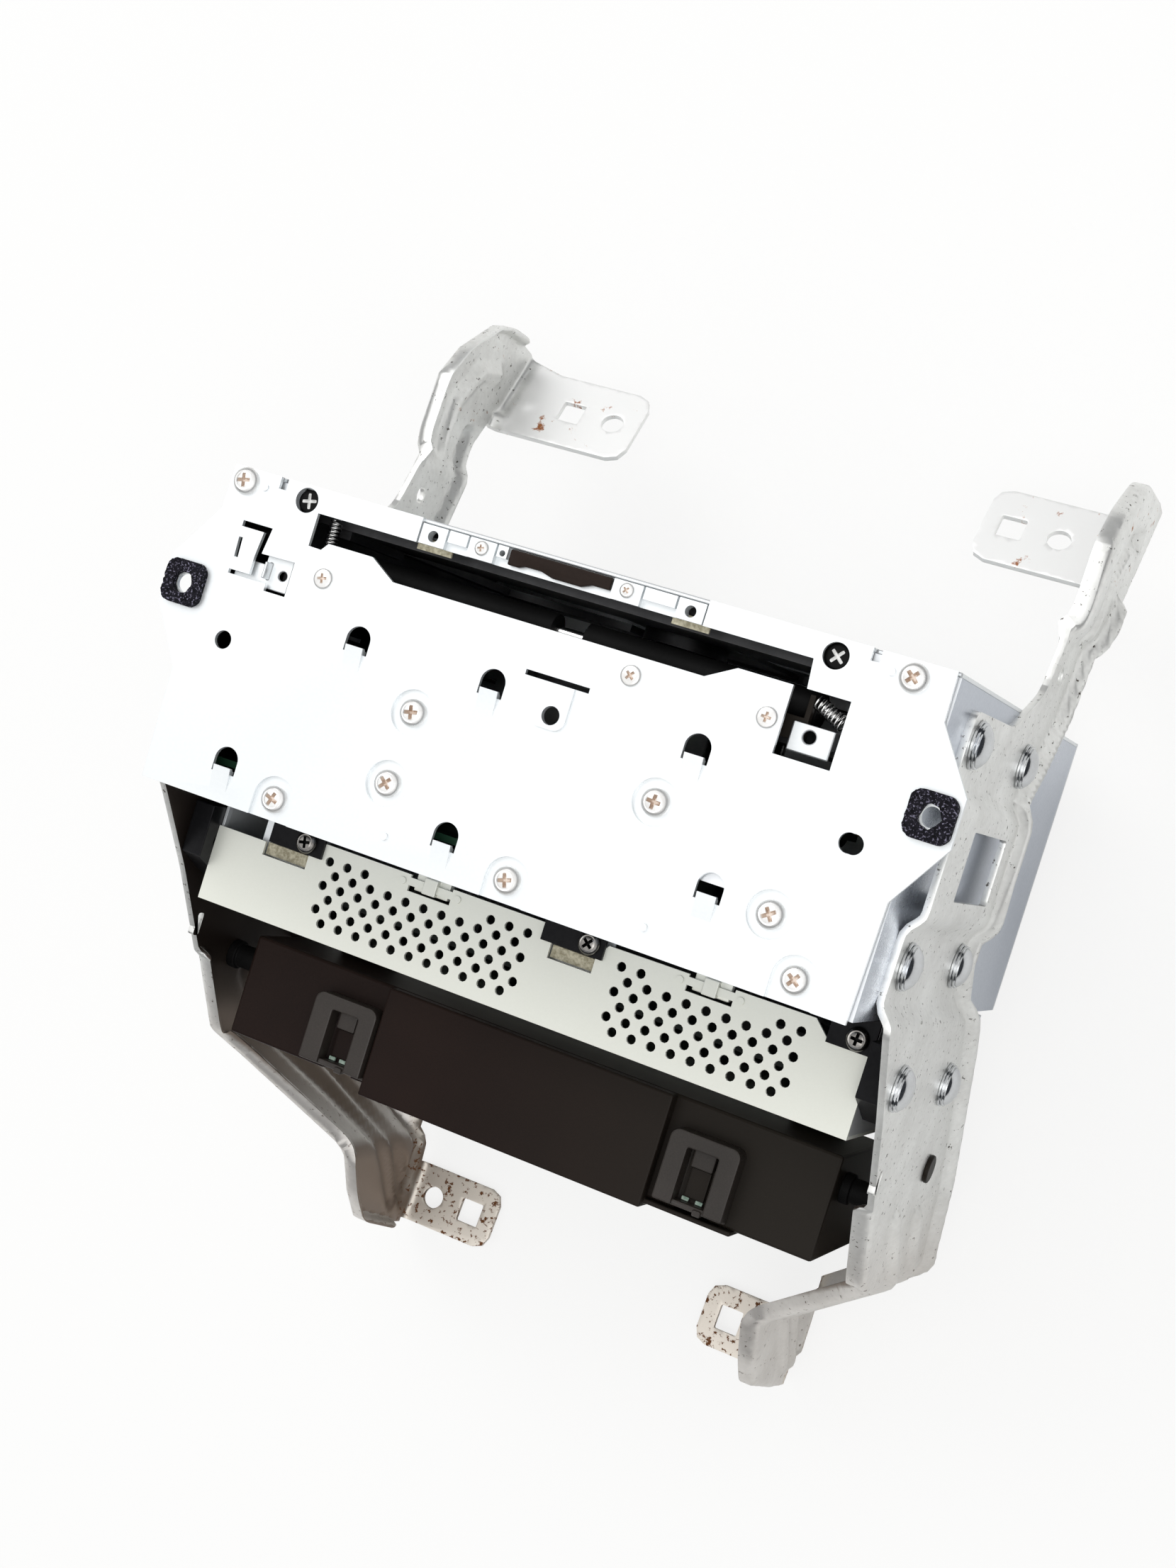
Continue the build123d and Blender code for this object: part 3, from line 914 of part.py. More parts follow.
def spring(start, end, radius, wire, turns):
    frame = Plane(start, z_dir=Vector(*end) - Vector(*start))
    pitch = math.dist(start, end) / turns
    slope = pitch / (2 * math.pi)
    places = []
    for i in range(turns * 2 + 1):
        angle = math.pi * i
        point = Vector(radius * math.cos(angle), radius * math.sin(angle), slope * angle)
        along = Vector(-radius * math.sin(angle), radius * math.cos(angle), slope).normalized()
        place = frame.from_local_coords(point)
        places.append((place, frame.from_local_coords(point + along) - place))
    arcs = []
    for (p0, t0), (p1, t1) in zip(places, places[1:]):
        arcs += biarc(p0, t0, p1, t1)
    first, last = places[0], places[-1]
    with BuildPart(mode=Mode.PRIVATE) as body:
        with BuildLine() as path:
            Line(first[0] - first[1] * wire, first[0])
            for a, b, c in arcs:
                ThreePointArc(a, b, c)
            Line(last[0], last[0] + last[1] * wire)
        with BuildSketch(Plane(first[0] - first[1] * wire, z_dir=first[1])):
            Circle(wire / 2)
        sweep(path=path.line)
    print("spring", turns, "turns, least gap to itself", round(self_gap(path.line, wire, turns), 2), "mm")
    return body.part


def self_gap(line, wire, turns):
    count = turns * 24
    points = [line @ (i / count) for i in range(count + 1)]
    least = math.inf
    for i, p in enumerate(points):
        for q in points[i + 14:]:
            least = min(least, (p - q).length)
    return least - wire


with BuildPart() as left_spring:
    x, z = SLOT_LEFT + 2.2, FRONT - 5.6
    add(spring((x, 50.4, z), (x, 58.2, z), 1.3, 0.4, 9))

with BuildPart() as right_spring:
    x, z = SLOT_RIGHT + 2.1, FRONT - 5.8
    add(spring((x, 50.4, z), (x + 7.0, 47.0, z), 1.5, 0.45, 8))

with BuildPart() as spring_bracket:
    right = SLOT_RIGHT + 8.3
    slab(SLOT_RIGHT - 1.3, right, 38.8, 45.2, FRONT - 5.0, FRONT - 4.2)
    slab(right - 0.8, right, DECK_TOP, 45.2, FLANGE_Z - 11.2, FRONT - 5.0)
    rod_z(SLOT_RIGHT + 3.0, 42.6, 1.4, FRONT - 6.0, FRONT - 4.0, Mode.SUBTRACT)

NODES = {
    "front_plate": front_plate, "foam_pads": foam_pads, "plate_screws": plate_screws,
    "corner_screws": corner_screws, "small_screws": small_screws, "deep_screws": deep_screws,
    "slot_strip": slot_strip, "slot_frame": slot_frame, "tab_screws": tab_screws, "lock_piece": lock_piece,
    "chassis_shell": chassis_shell, "top_cover": top_cover, "rear_panel": rear_panel, "heat_sink": heat_sink,
    "rear_connectors": rear_connectors, "fan_frame": fan_frame, "fan_rotor": fan_rotor,
    "main_board": main_board, "board_parts": board_parts, "module_cover": module_cover,
    "module_clips": module_clips, "module_tray": module_tray, "gasket_strips": gasket_strips,
    "module_tabs": module_tabs, "module_screws": module_screws, "module_board": module_board,
    "module_chips": module_chips, "control_housing": control_housing, "housing_block": housing_block,
    "snap_loops": snap_loops, "control_board": control_board, "bumpers": bumpers,
    "right_bracket": right_bracket, "left_bracket": left_bracket, "bracket_screws": bracket_screws,
    "module_ears": module_ears, "push_clips": push_clips, "mech_deck": mech_deck, "dampers": dampers,
    "disc_guide": disc_guide, "slot_lip": slot_lip, "felt_pads": felt_pads, "loading_roller": loading_roller,
    "roller_sleeves": roller_sleeves, "idler_gear": idler_gear, "motor_pinion": motor_pinion,
    "loading_motor": loading_motor, "turntable": turntable, "spindle_motor": spindle_motor,
    "clamp_arm": clamp_arm, "clamp_puck": clamp_puck, "guide_rods": guide_rods, "pickup_sled": pickup_sled,
    "pickup_lens": pickup_lens, "sled_pinion": sled_pinion, "sled_motor": sled_motor,
    "left_spring": left_spring, "right_spring": right_spring, "spring_bracket": spring_bracket,
}
for name, node in NODES.items():
    node.part.label = name
    export_step(node.part, f"parts/{name}.step")
    print(name, len(node.part.solids()), round(node.part.volume), node.part.bounding_box())
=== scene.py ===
# %% [markdown]
# This lesson dresses a car navigation unit that lies on its back with its fascia taken off. The imported CAD
# model comes in first as a fixed frame. Every piece made below is placed in the frame's own coordinates, so
# the pieces fit each other.

import json
import math

import bpy
import numpy as np
from mathutils import Matrix, Vector
from mathutils.noise import noise as uneven


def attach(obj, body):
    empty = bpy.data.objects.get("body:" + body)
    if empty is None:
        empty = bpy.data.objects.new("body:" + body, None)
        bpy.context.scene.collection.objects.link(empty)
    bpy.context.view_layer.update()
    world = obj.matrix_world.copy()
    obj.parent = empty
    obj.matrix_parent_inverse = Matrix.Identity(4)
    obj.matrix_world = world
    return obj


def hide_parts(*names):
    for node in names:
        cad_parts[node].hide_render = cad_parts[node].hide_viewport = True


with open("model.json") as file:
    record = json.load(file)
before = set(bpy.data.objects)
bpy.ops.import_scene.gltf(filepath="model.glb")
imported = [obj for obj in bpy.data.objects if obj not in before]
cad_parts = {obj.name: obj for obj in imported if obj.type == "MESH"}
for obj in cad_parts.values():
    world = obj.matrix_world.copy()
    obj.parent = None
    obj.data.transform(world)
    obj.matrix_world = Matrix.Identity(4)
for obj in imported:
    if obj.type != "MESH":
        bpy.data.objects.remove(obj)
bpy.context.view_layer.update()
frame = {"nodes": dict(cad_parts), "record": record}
nodes = frame["nodes"]
body_of = {n: b for b, group in frame["record"]["behaviour"]["bodies"].items() for n in group}
slot_of = {entry["node"]: entry["material_slot"] for entry in frame["record"]["subparts"]}

# %% [markdown]
# The photograph was taken from above, a little to the right, with a rather long lens. The place of the
# camera was worked out from the grid of ventilation holes and the symmetry of the unit, so it is set by
# numbers and not by trying. The three directions are the columns of its rotation: to the right, upwards and
# backwards.

# %% Camera
CAMERA_PLACE = Vector((0.1921, 0.0360, 0.6161))
CAMERA_RIGHT = Vector((0.8851, 0.2986, -0.3569))
CAMERA_UP = Vector((-0.2906, 0.9537, 0.0772))
LENS_PIXELS = 3138.45
PHOTO_WIDTH = 1659

camera_data = bpy.data.cameras.new("camera")
camera_data.sensor_fit = "HORIZONTAL"
camera_data.sensor_width = 36.0
camera_data.lens = LENS_PIXELS / PHOTO_WIDTH * camera_data.sensor_width
camera_data.clip_start = 0.01
camera = bpy.data.objects.new("camera", camera_data)
bpy.context.collection.objects.link(camera)
back = CAMERA_RIGHT.cross(CAMERA_UP).normalized()
up = back.cross(CAMERA_RIGHT).normalized()
turn = Matrix((CAMERA_RIGHT.normalized(), up, back)).transposed().to_4x4()
camera.matrix_world = Matrix.Translation(CAMERA_PLACE) @ turn
bpy.context.scene.camera = camera
print("camera lens", round(camera_data.lens, 2), "mm")

# %% [markdown]
# Small helpers come next. An operator works on everything that is selected, so each piece is picked alone
# before it is changed. A finished piece keeps its place in its mesh and its object at the origin.

# %% Helpers for picking, modifiers and finishing
MM = 0.001


def edit_mode():
    bpy.ops.object.mode_set(mode="EDIT")


def object_mode():
    bpy.ops.object.mode_set(mode="OBJECT")


def select_mesh():
    bpy.ops.mesh.select_all(action="SELECT")


def new_object(name, data):
    thing = bpy.data.objects.new(name, data)
    bpy.context.collection.objects.link(thing)
    return thing


def pick(piece):
    bpy.ops.object.select_all(action="DESELECT")
    piece.select_set(True)
    bpy.context.view_layer.objects.active = piece


def settle(piece):
    pick(piece)
    bpy.ops.object.transform_apply(location=True, rotation=True, scale=True)


def modify(piece, kind, **settings):
    pick(piece)
    step = piece.modifiers.new(kind.lower(), kind)
    for name, value in settings.items():
        setattr(step, name, value)
    bpy.ops.object.modifier_apply(modifier=step.name)


def choose(piece, test):
    pick(piece)
    edit_mode()
    bpy.ops.mesh.select_mode(type="FACE")
    bpy.ops.mesh.select_all(action="DESELECT")
    object_mode()
    for face in piece.data.polygons:
        face.select = test(face)
    edit_mode()


def face_outwards(piece):
    choose(piece, lambda face: True)
    bpy.ops.mesh.normals_make_consistent(inside=False)
    object_mode()


def join(pieces, name):
    bpy.ops.object.select_all(action="DESELECT")
    for piece in pieces:
        piece.select_set(True)
    bpy.context.view_layer.objects.active = pieces[0]
    if len(pieces) > 1:
        bpy.ops.object.join()
    pieces[0].name = name
    return pieces[0]


def finish(piece, node, smooth, look=None):
    settle(piece)
    bpy.ops.object.shade_smooth_by_angle(angle=math.radians(smooth))
    if look:
        piece.data.materials.clear()
        piece.data.materials.append(look)
    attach(piece, body_of[node])
    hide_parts(node)
    print(piece.name, "has", len(piece.data.polygons), "faces")


print("helpers made, one millimetre is", MM, "m")

# %% [markdown]
# The table is white and the light comes from above. A plain white floor carries the shadow. What the camera
# sees of it is mostly light of its own, so that it comes out as pale as in the photograph without more light
# on the unit.

# %% Floor
WHITE = (1.0, 1.0, 1.0, 1.0)
FLOOR_WHITE = (0.93, 0.93, 0.92, 1.0)
FLOOR_GLOW_WHITE = (1.0, 1.0, 0.995, 1.0)
FLOOR_GLOW = 0.80
FLOOR_SIZE = 6.0
FLOOR_DROP = 0.0002


def wire(tree, pairs):
    for start, end in pairs:
        tree.links.new(start, end)


def math_node(tree, operation):
    node = tree.nodes.new("ShaderNodeMath")
    node.operation = operation
    return node


def empty_tree(owner):
    owner.use_nodes = True
    owner.node_tree.nodes.clear()
    return owner.node_tree


bpy.ops.object.select_all(action="DESELECT")
bpy.ops.mesh.primitive_plane_add(size=FLOOR_SIZE, location=(0.0, 0.0, -FLOOR_DROP))
floor = bpy.context.object
floor.name = "floor"
floor_look = bpy.data.materials.new("floor_white")
tree = empty_tree(floor_look)
output = tree.nodes.new("ShaderNodeOutputMaterial")
mix = tree.nodes.new("ShaderNodeMixShader")
matt = tree.nodes.new("ShaderNodeBsdfDiffuse")
matt.inputs["Color"].default_value = FLOOR_WHITE
glow = tree.nodes.new("ShaderNodeEmission")
glow.inputs["Color"].default_value = FLOOR_GLOW_WHITE
path = tree.nodes.new("ShaderNodeLightPath")
share = math_node(tree, "MULTIPLY")
share.inputs[1].default_value = FLOOR_GLOW
wire(tree, [
    (path.outputs["Is Camera Ray"], share.inputs[0]),
    (share.outputs[0], mix.inputs["Fac"]),
    (matt.outputs[0], mix.inputs[1]),
    (glow.outputs[0], mix.inputs[2]),
    (mix.outputs[0], output.inputs["Surface"]),
])
floor.data.materials.append(floor_look)
print("floor is", FLOOR_SIZE, "m wide")

# %% [markdown]
# Low dark walls stand around the table, because bright metal only shows its shape when there is something
# dark beside the light for it to reflect. The camera itself doesn't see them.

# %% Dark walls
WALL_RADIUS = 1.7
WALL_HEIGHT = 0.9
WALL_MIDDLE = 0.47
WALL_DARK = (0.05, 0.055, 0.065, 1.0)

bpy.ops.mesh.primitive_cylinder_add(
    vertices=48, radius=WALL_RADIUS, depth=WALL_HEIGHT, end_fill_type="NOTHING", location=(0, 0, WALL_MIDDLE)
)
wall = bpy.context.object
wall.name = "dark_walls"
wall_look = bpy.data.materials.new("wall_dark")
wall_look.use_nodes = True
wall_shader = wall_look.node_tree.nodes["Principled BSDF"]
wall_shader.inputs["Base Color"].default_value = WALL_DARK
wall_shader.inputs["Roughness"].default_value = 1.0
wall.data.materials.append(wall_look)
wall.visible_camera = False
print("dark walls stand", WALL_RADIUS, "m away")

# %% [markdown]
# The room is white too. It lights the unit a little less than it shows in the picture and in the metal, so
# that the background is clean while the shadows keep some depth.

# %% White room
ROOM_LIGHT = 0.85
ROOM_SEEN = 1.15

world = bpy.data.worlds.new("white_room")
bpy.context.scene.world = world
tree = empty_tree(world)
output = tree.nodes.new("ShaderNodeOutputWorld")
mix = tree.nodes.new("ShaderNodeMixShader")
path = tree.nodes.new("ShaderNodeLightPath")
first = math_node(tree, "MAXIMUM")
second = math_node(tree, "MAXIMUM")
wire(tree, [
    (path.outputs["Is Camera Ray"], first.inputs[0]),
    (path.outputs["Is Glossy Ray"], first.inputs[1]),
    (first.outputs[0], second.inputs[0]),
    (path.outputs["Is Transmission Ray"], second.inputs[1]),
    (second.outputs[0], mix.inputs["Fac"]),
])
for entrance, strength in ((1, ROOM_LIGHT), (2, ROOM_SEEN)):
    light = tree.nodes.new("ShaderNodeBackground")
    light.inputs["Color"].default_value = WHITE
    light.inputs["Strength"].default_value = strength
    tree.links.new(light.outputs[0], mix.inputs[entrance])
tree.links.new(mix.outputs[0], output.inputs["Surface"])
print("room made")

# %% [markdown]
# Two large soft lamps stand for a window and a ceiling light. They give the faint shadow and the glints.

# %% Lamps
LAMPS = [("window_lamp", (-0.75, 0.9, 1.3), 1.1, 9.0), ("ceiling_lamp", (0.5, -0.3, 1.6), 0.9, 5.0)]
LAMP_AIM = Vector((0.0, 0.0, 0.1))

for name, place, size, watts in LAMPS:
    lamp_data = bpy.data.lights.new(name, "AREA")
    lamp_data.size = size
    lamp_data.energy = watts
    lamp = new_object(name, lamp_data)
    lamp.location = place
    lamp.rotation_euler = (LAMP_AIM - Vector(place)).to_track_quat("-Z", "Y").to_euler()
bpy.context.scene.view_settings.view_transform = "Standard"
print("lamps:", len(LAMPS))

# %% [markdown]
# Real surfaces are never one flat colour. Two effects are used by many finishes, so each is a node group
# made once: a grain with a tone and a height, and specks such as rust, dirt or spangle. Both read Object
# coordinates, which stay fixed to the piece when it moves. The grain mixes a fine noise with large patches.

# %% Node group for grain


def new_group(name, inputs, outputs):
    group = bpy.data.node_groups.new(name, "ShaderNodeTree")
    for label, start in inputs:
        socket = group.interface.new_socket(label, in_out="INPUT", socket_type="NodeSocketFloat")
        socket.default_value = start
    for label in outputs:
        group.interface.new_socket(label, in_out="OUTPUT", socket_type="NodeSocketFloat")
    return group, group.nodes.new("NodeGroupInput"), group.nodes.new("NodeGroupOutput")


grain, ends_in, ends_out = new_group("grain", [("Scale", 400.0), ("Patch Scale", 30.0)], ["Tone", "Height"])
where = grain.nodes.new("ShaderNodeTexCoord")
fine = grain.nodes.new("ShaderNodeTexNoise")
fine.inputs["Detail"].default_value = 6.0
patches = grain.nodes.new("ShaderNodeTexNoise")
patches.inputs["Detail"].default_value = 3.0
blend = grain.nodes.new("ShaderNodeMix")
blend.inputs["Factor"].default_value = 0.35
wire(grain, [
    (where.outputs["Object"], fine.inputs["Vector"]),
    (ends_in.outputs["Scale"], fine.inputs["Scale"]),
    (where.outputs["Object"], patches.inputs["Vector"]),
    (ends_in.outputs["Patch Scale"], patches.inputs["Scale"]),
    (patches.outputs["Fac"], blend.inputs["A"]),
    (fine.outputs["Fac"], blend.inputs["B"]),
    (blend.outputs["Result"], ends_out.inputs["Tone"]),
    (fine.outputs["Fac"], ends_out.inputs["Height"]),
])
print("grain made with", len(grain.nodes), "nodes")

# %% [markdown]
# Specks come from the same kind of noise, cut off at a level: a higher amount lowers the level, so more of
# the surface is covered. The softness is how far a speck fades at its edge.

# %% Node group for specks
specks, ends_in, ends_out = new_group(
    "specks", [("Scale", 300.0), ("Amount", 0.3), ("Softness", 0.06)], ["Mask"]
)
where = specks.nodes.new("ShaderNodeTexCoord")
noise = specks.nodes.new("ShaderNodeTexNoise")
noise.inputs["Detail"].default_value = 5.0
noise.inputs["Roughness"].default_value = 0.65
edge = math_node(specks, "SUBTRACT")
edge.inputs[0].default_value = 1.0
upper = math_node(specks, "ADD")
ramp = specks.nodes.new("ShaderNodeMapRange")
wire(specks, [
    (where.outputs["Object"], noise.inputs["Vector"]),
    (ends_in.outputs["Scale"], noise.inputs["Scale"]),
    (ends_in.outputs["Amount"], edge.inputs[1]),
    (edge.outputs[0], upper.inputs[0]),
    (ends_in.outputs["Softness"], upper.inputs[1]),
    (noise.outputs["Fac"], ramp.inputs["Value"]),
    (edge.outputs[0], ramp.inputs["From Min"]),
    (upper.outputs[0], ramp.inputs["From Max"]),
    (ramp.outputs["Result"], ends_out.inputs["Mask"]),
])
print("groups made:", [g.name for g in bpy.data.node_groups])

# %% [markdown]
# One function makes every finish from these groups: two near colours mixed by the tone, a roughness that
# wanders a little, and a bump from the fine height. Metal, plastic, rubber and foam differ only in values.
# The value that is the same all over, such as Metallic, is set straight on the shader. A tint can be laid
# over the finish wherever a mask is bright.

# %% A finish and a tint over it
BUMP_DEPTH = 0.0002
SMOOTHEST = 0.04
TONE_LOW = 0.35
TONE_HIGH = 0.65


def shader_of(look):
    return look.node_tree.nodes["Principled BSDF"]


def mask_over(look, mask, tint, rough):
    tree = look.node_tree
    shader = shader_of(look)
    for label, value in (("Base Color", (*tint, 1.0)), ("Roughness", rough)):
        under = shader.inputs[label].links[0].from_socket
        over = tree.nodes.new("ShaderNodeMix")
        if label == "Base Color":
            over.data_type = "RGBA"
        over.inputs["B"].default_value = value
        wire(tree, [
            (mask, over.inputs["Factor"]),
            (under, over.inputs["A"]),
            (over.outputs["Result"], shader.inputs[label]),
        ])


def speckle(tree, scale, amount, softness=0.06):
    group = tree.nodes.new("ShaderNodeGroup")
    group.node_tree = specks
    group.inputs["Scale"].default_value = scale
    group.inputs["Amount"].default_value = amount
    group.inputs["Softness"].default_value = softness
    return group.outputs["Mask"]


def new_finish(name, light, dark, rough, metallic, scale, patch, bump, wander=0.12):
    look = bpy.data.materials.new(name)
    look.use_nodes = True
    tree = look.node_tree
    shader = shader_of(look)
    shader.inputs["Metallic"].default_value = metallic
    texture = tree.nodes.new("ShaderNodeGroup")
    texture.node_tree = grain
    texture.inputs["Scale"].default_value = scale
    texture.inputs["Patch Scale"].default_value = patch
    spread = tree.nodes.new("ShaderNodeMapRange")
    spread.inputs["From Min"].default_value = TONE_LOW
    spread.inputs["From Max"].default_value = TONE_HIGH
    colour = tree.nodes.new("ShaderNodeMix")
    colour.data_type = "RGBA"
    colour.inputs["A"].default_value = (*light, 1.0)
    colour.inputs["B"].default_value = (*dark, 1.0)
    rough_map = tree.nodes.new("ShaderNodeMapRange")
    rough_map.inputs["To Min"].default_value = max(SMOOTHEST, rough - wander)
    rough_map.inputs["To Max"].default_value = min(1.0, rough + wander)
    relief = tree.nodes.new("ShaderNodeBump")
    relief.inputs["Strength"].default_value = bump
    relief.inputs["Distance"].default_value = BUMP_DEPTH
    wire(tree, [
        (texture.outputs["Tone"], spread.inputs["Value"]),
        (spread.outputs["Result"], colour.inputs["Factor"]),
        (texture.outputs["Tone"], rough_map.inputs["Value"]),
        (texture.outputs["Height"], relief.inputs["Height"]),
        (colour.outputs["Result"], shader.inputs["Base Color"]),
        (rough_map.outputs["Result"], shader.inputs["Roughness"]),
        (relief.outputs["Normal"], shader.inputs["Normal"]),
    ])
    return look


print("smoothest roughness:", SMOOTHEST)

# %% [markdown]
# Each material slot of the model gets one finish, and some pieces get one of their own. A row gives the
# light and the dark colour, the roughness, how metallic it is, the size of the grain and of the patches as a
# scale, and the strength of the bump. A last number, where there is one, says how far the roughness wanders.
# The black finishes have less gloss than plain plastic, because the real ones look matt.

# %% Finishes
ROWS = {
    "zinc_sheet": ("bright_zinc", (0.85, 0.875, 0.885), (0.8, 0.83, 0.845), 0.36, 0.6, 1400, 24, 0.04),
    "bracket_steel": ("grey_zinc", (0.86, 0.865, 0.845), (0.7, 0.7, 0.68), 0.36, 0.75, 700, 60, 0.1),
    "screw_steel": ("screw_plating", (0.8, 0.8, 0.79), (0.62, 0.61, 0.6), 0.16, 1.0, 1500, 200, 0.03),
    "dark_steel": ("black_sheet", (0.012, 0.012, 0.013), (0.006, 0.006, 0.007), 0.34, 0.3, 900, 80, 0.06),
    "painted_cover": ("cover_coat", (0.8, 0.81, 0.735), (0.765, 0.775, 0.7), 0.38, 0.15, 2200, 18, 0.03),
    "black_plastic": (
        "housing_black", (0.016, 0.0085, 0.0065), (0.01, 0.0055, 0.0045), 0.46, 0.0, 2600, 30, 0.1
    ),
    "brown_plastic": ("strip_brown", (0.022, 0.014, 0.011), (0.015, 0.01, 0.008), 0.45, 0.0, 1500, 60, 0.08),
    "white_plastic": ("gear_white", (0.82, 0.8, 0.74), (0.76, 0.74, 0.68), 0.4, 0.0, 900, 60, 0.04),
    "rubber": ("rubber_black", (0.006, 0.006, 0.006), (0.004, 0.004, 0.004), 0.6, 0.0, 1200, 90, 0.15),
    "foam": ("foam_black", (0.014, 0.013, 0.019), (0.003, 0.003, 0.004), 0.8, 0.0, 1500, 700, 1.0),
    "felt": ("felt_grey", (0.03, 0.028, 0.036), (0.016, 0.016, 0.02), 0.95, 0.0, 2500, 300, 0.5),
    "gasket": ("gasket_beige", (0.6, 0.56, 0.42), (0.3, 0.27, 0.18), 0.75, 0.0, 1800, 900, 0.6),
    "board_green": ("board_green", (0.05, 0.16, 0.09), (0.03, 0.11, 0.06), 0.35, 0.0, 900, 200, 0.05),
    "chip_black": ("package_black", (0.03, 0.03, 0.03), (0.02, 0.02, 0.02), 0.5, 0.0, 1500, 200, 0.1),
    "sink_aluminium": ("cast_aluminium", (0.66, 0.67, 0.68), (0.56, 0.57, 0.58), 0.42, 0.9, 700, 60, 0.12),
    "brass_pinion": ("pinion_brass", (0.78, 0.6, 0.28), (0.66, 0.49, 0.21), 0.28, 1.0, 1500, 200, 0.03),
    "lens_glass": ("lens_glass", (0.35, 0.45, 0.75), (0.28, 0.38, 0.68), 0.08, 0.0, 900, 60, 0.0, 0.02),
    "wall": ("wall_zinc", (0.56, 0.6, 0.67), (0.46, 0.5, 0.57), 0.3, 0.7, 1200, 20, 0.04),
    # Painted shade: the deck finish darkens the disc mechanism behind the slot.
    "deck": ("deck_painted_shade", (0.05, 0.05, 0.052), (0.03, 0.03, 0.032), 0.4, 0.5, 900, 80, 0.05),
    "loop": ("loop_grey", (0.036, 0.029, 0.025), (0.022, 0.018, 0.015), 0.42, 0.0, 2400, 40, 0.12),
    "pale_chip": ("pale_chip", (0.5, 0.6, 0.52), (0.22, 0.34, 0.27), 0.5, 0.0, 2000, 900, 0.1),
    "head": ("plated_head", (0.88, 0.88, 0.87), (0.74, 0.73, 0.71), 0.3, 0.65, 1500, 200, 0.03),
    # Partly a brown tint, partly painted shade: the cross recess is darker than the head.
    "recess": ("recess_warm_shade", (0.86, 0.78, 0.71), (0.62, 0.5, 0.41), 0.4, 0.6, 900, 300, 0.1),
    # Painted shade: this near black stands for shade on the deep screw heads, in the module screw recesses
    # and behind the wall slots.
    "deep": ("painted_shade_black", (0.004, 0.004, 0.004), (0.002, 0.002, 0.002), 0.5, 0.0, 900, 200, 0.05),
    # Painted glint: a white matt finish on the deep screws' recess walls stands for the glint in their cross.
    "glint": ("cross_glint", (0.85, 0.85, 0.84), (0.6, 0.6, 0.59), 0.35, 0.1, 900, 300, 0.1),
    "dull": ("dull_screw", (0.3, 0.29, 0.275), (0.16, 0.15, 0.14), 0.22, 1.0, 1500, 300, 0.06),
    "dome": ("dome_polish", (0.62, 0.635, 0.65), (0.52, 0.53, 0.54), 0.12, 1.0, 1500, 200, 0.02, 0.04),
    # Painted shade: the dark board finish darkens the board behind the cover's holes.
    "dark_board": ("board_shade", (0.008, 0.018, 0.012), (0.004, 0.01, 0.007), 0.5, 0.0, 900, 200, 0.05),
}
GLOSS = {
    "black_plastic": 0.09, "brown_plastic": 0.09, "rubber": 0.09, "dark_steel": 0.09, "felt": 0.09,
    "foam": 0.09, "deep": 0.1, "loop": 0.3,
}
LENS_CLEAR = 0.7

FINISHES = {slot: new_finish(*row) for slot, row in ROWS.items()}
for slot, gloss in GLOSS.items():
    shader_of(FINISHES[slot]).inputs["Specular IOR Level"].default_value = gloss
shader_of(FINISHES["lens_glass"]).inputs["Transmission Weight"].default_value = LENS_CLEAR
print("finishes made:", len(FINISHES))

# %% [markdown]
# Where a tint goes depends on the place on the unit and on the way a face looks. A span turns such a value
# into a mask: it rises softly from nothing at its first number to full at its second. Two masks are
# multiplied where both must hold. Places are in metres, as Object coordinates are.

# %% Masks from place and direction


def object_axes(tree):
    where = tree.nodes.new("ShaderNodeTexCoord")
    split = tree.nodes.new("ShaderNodeSeparateXYZ")
    tree.links.new(where.outputs["Object"], split.inputs[0])
    return split.outputs


def normal_axes(tree):
    facing = tree.nodes.new("ShaderNodeNewGeometry")
    split = tree.nodes.new("ShaderNodeSeparateXYZ")
    tree.links.new(facing.outputs["Normal"], split.inputs[0])
    return split.outputs


def span(tree, source, low, high):
    ramp = tree.nodes.new("ShaderNodeMapRange")
    ramp.interpolation_type = "SMOOTHSTEP"
    ramp.inputs["From Min"].default_value = low
    ramp.inputs["From Max"].default_value = high
    tree.links.new(source, ramp.inputs["Value"])
    return ramp.outputs["Result"]


def times(tree, a, b):
    step = math_node(tree, "MULTIPLY")
    for socket, value in zip(step.inputs, (a, b)):
        if isinstance(value, float):
            socket.default_value = value
        else:
            tree.links.new(value, socket)
    return step.outputs[0]


def absolute(tree, source):
    step = math_node(tree, "ABSOLUTE")
    tree.links.new(source, step.inputs[0])
    return step.outputs[0]


# Inward-looking faces get painted shade through this mask, on the brackets and on the chassis.
INWARD = (-0.040, -0.060)


def inward_mask(tree):
    return span(tree, times(tree, normal_axes(tree)["X"], object_axes(tree)["X"]), *INWARD)


print("inward faces are masked from", INWARD[0], "to", INWARD[1])

# %% [markdown]
# The brackets are old galvanised steel: dark flecks all over, cream deposit and rust dots on the lower feet,
# larger rust spots on the upper feet, which get painted light that makes them the palest parts, and a thin
# brown layer on the lower arms. Below the middle their inner side gets painted shade, nearly black beside the
# housing and a darker brown on the lower arms.

# %% Steel of the brackets
BELOW_MIDDLE = (0.004, -0.012)
LOW_ARM = (-0.050, -0.085)
ON_TABLE = (0.0095, 0.0075)
UPPER_FOOT = (0.094, 0.100)
INSIDE_ARM = (0.0905, 0.0875)
UPPER_RUST = (0.096, 0.104)
LOW_FILM = 0.35

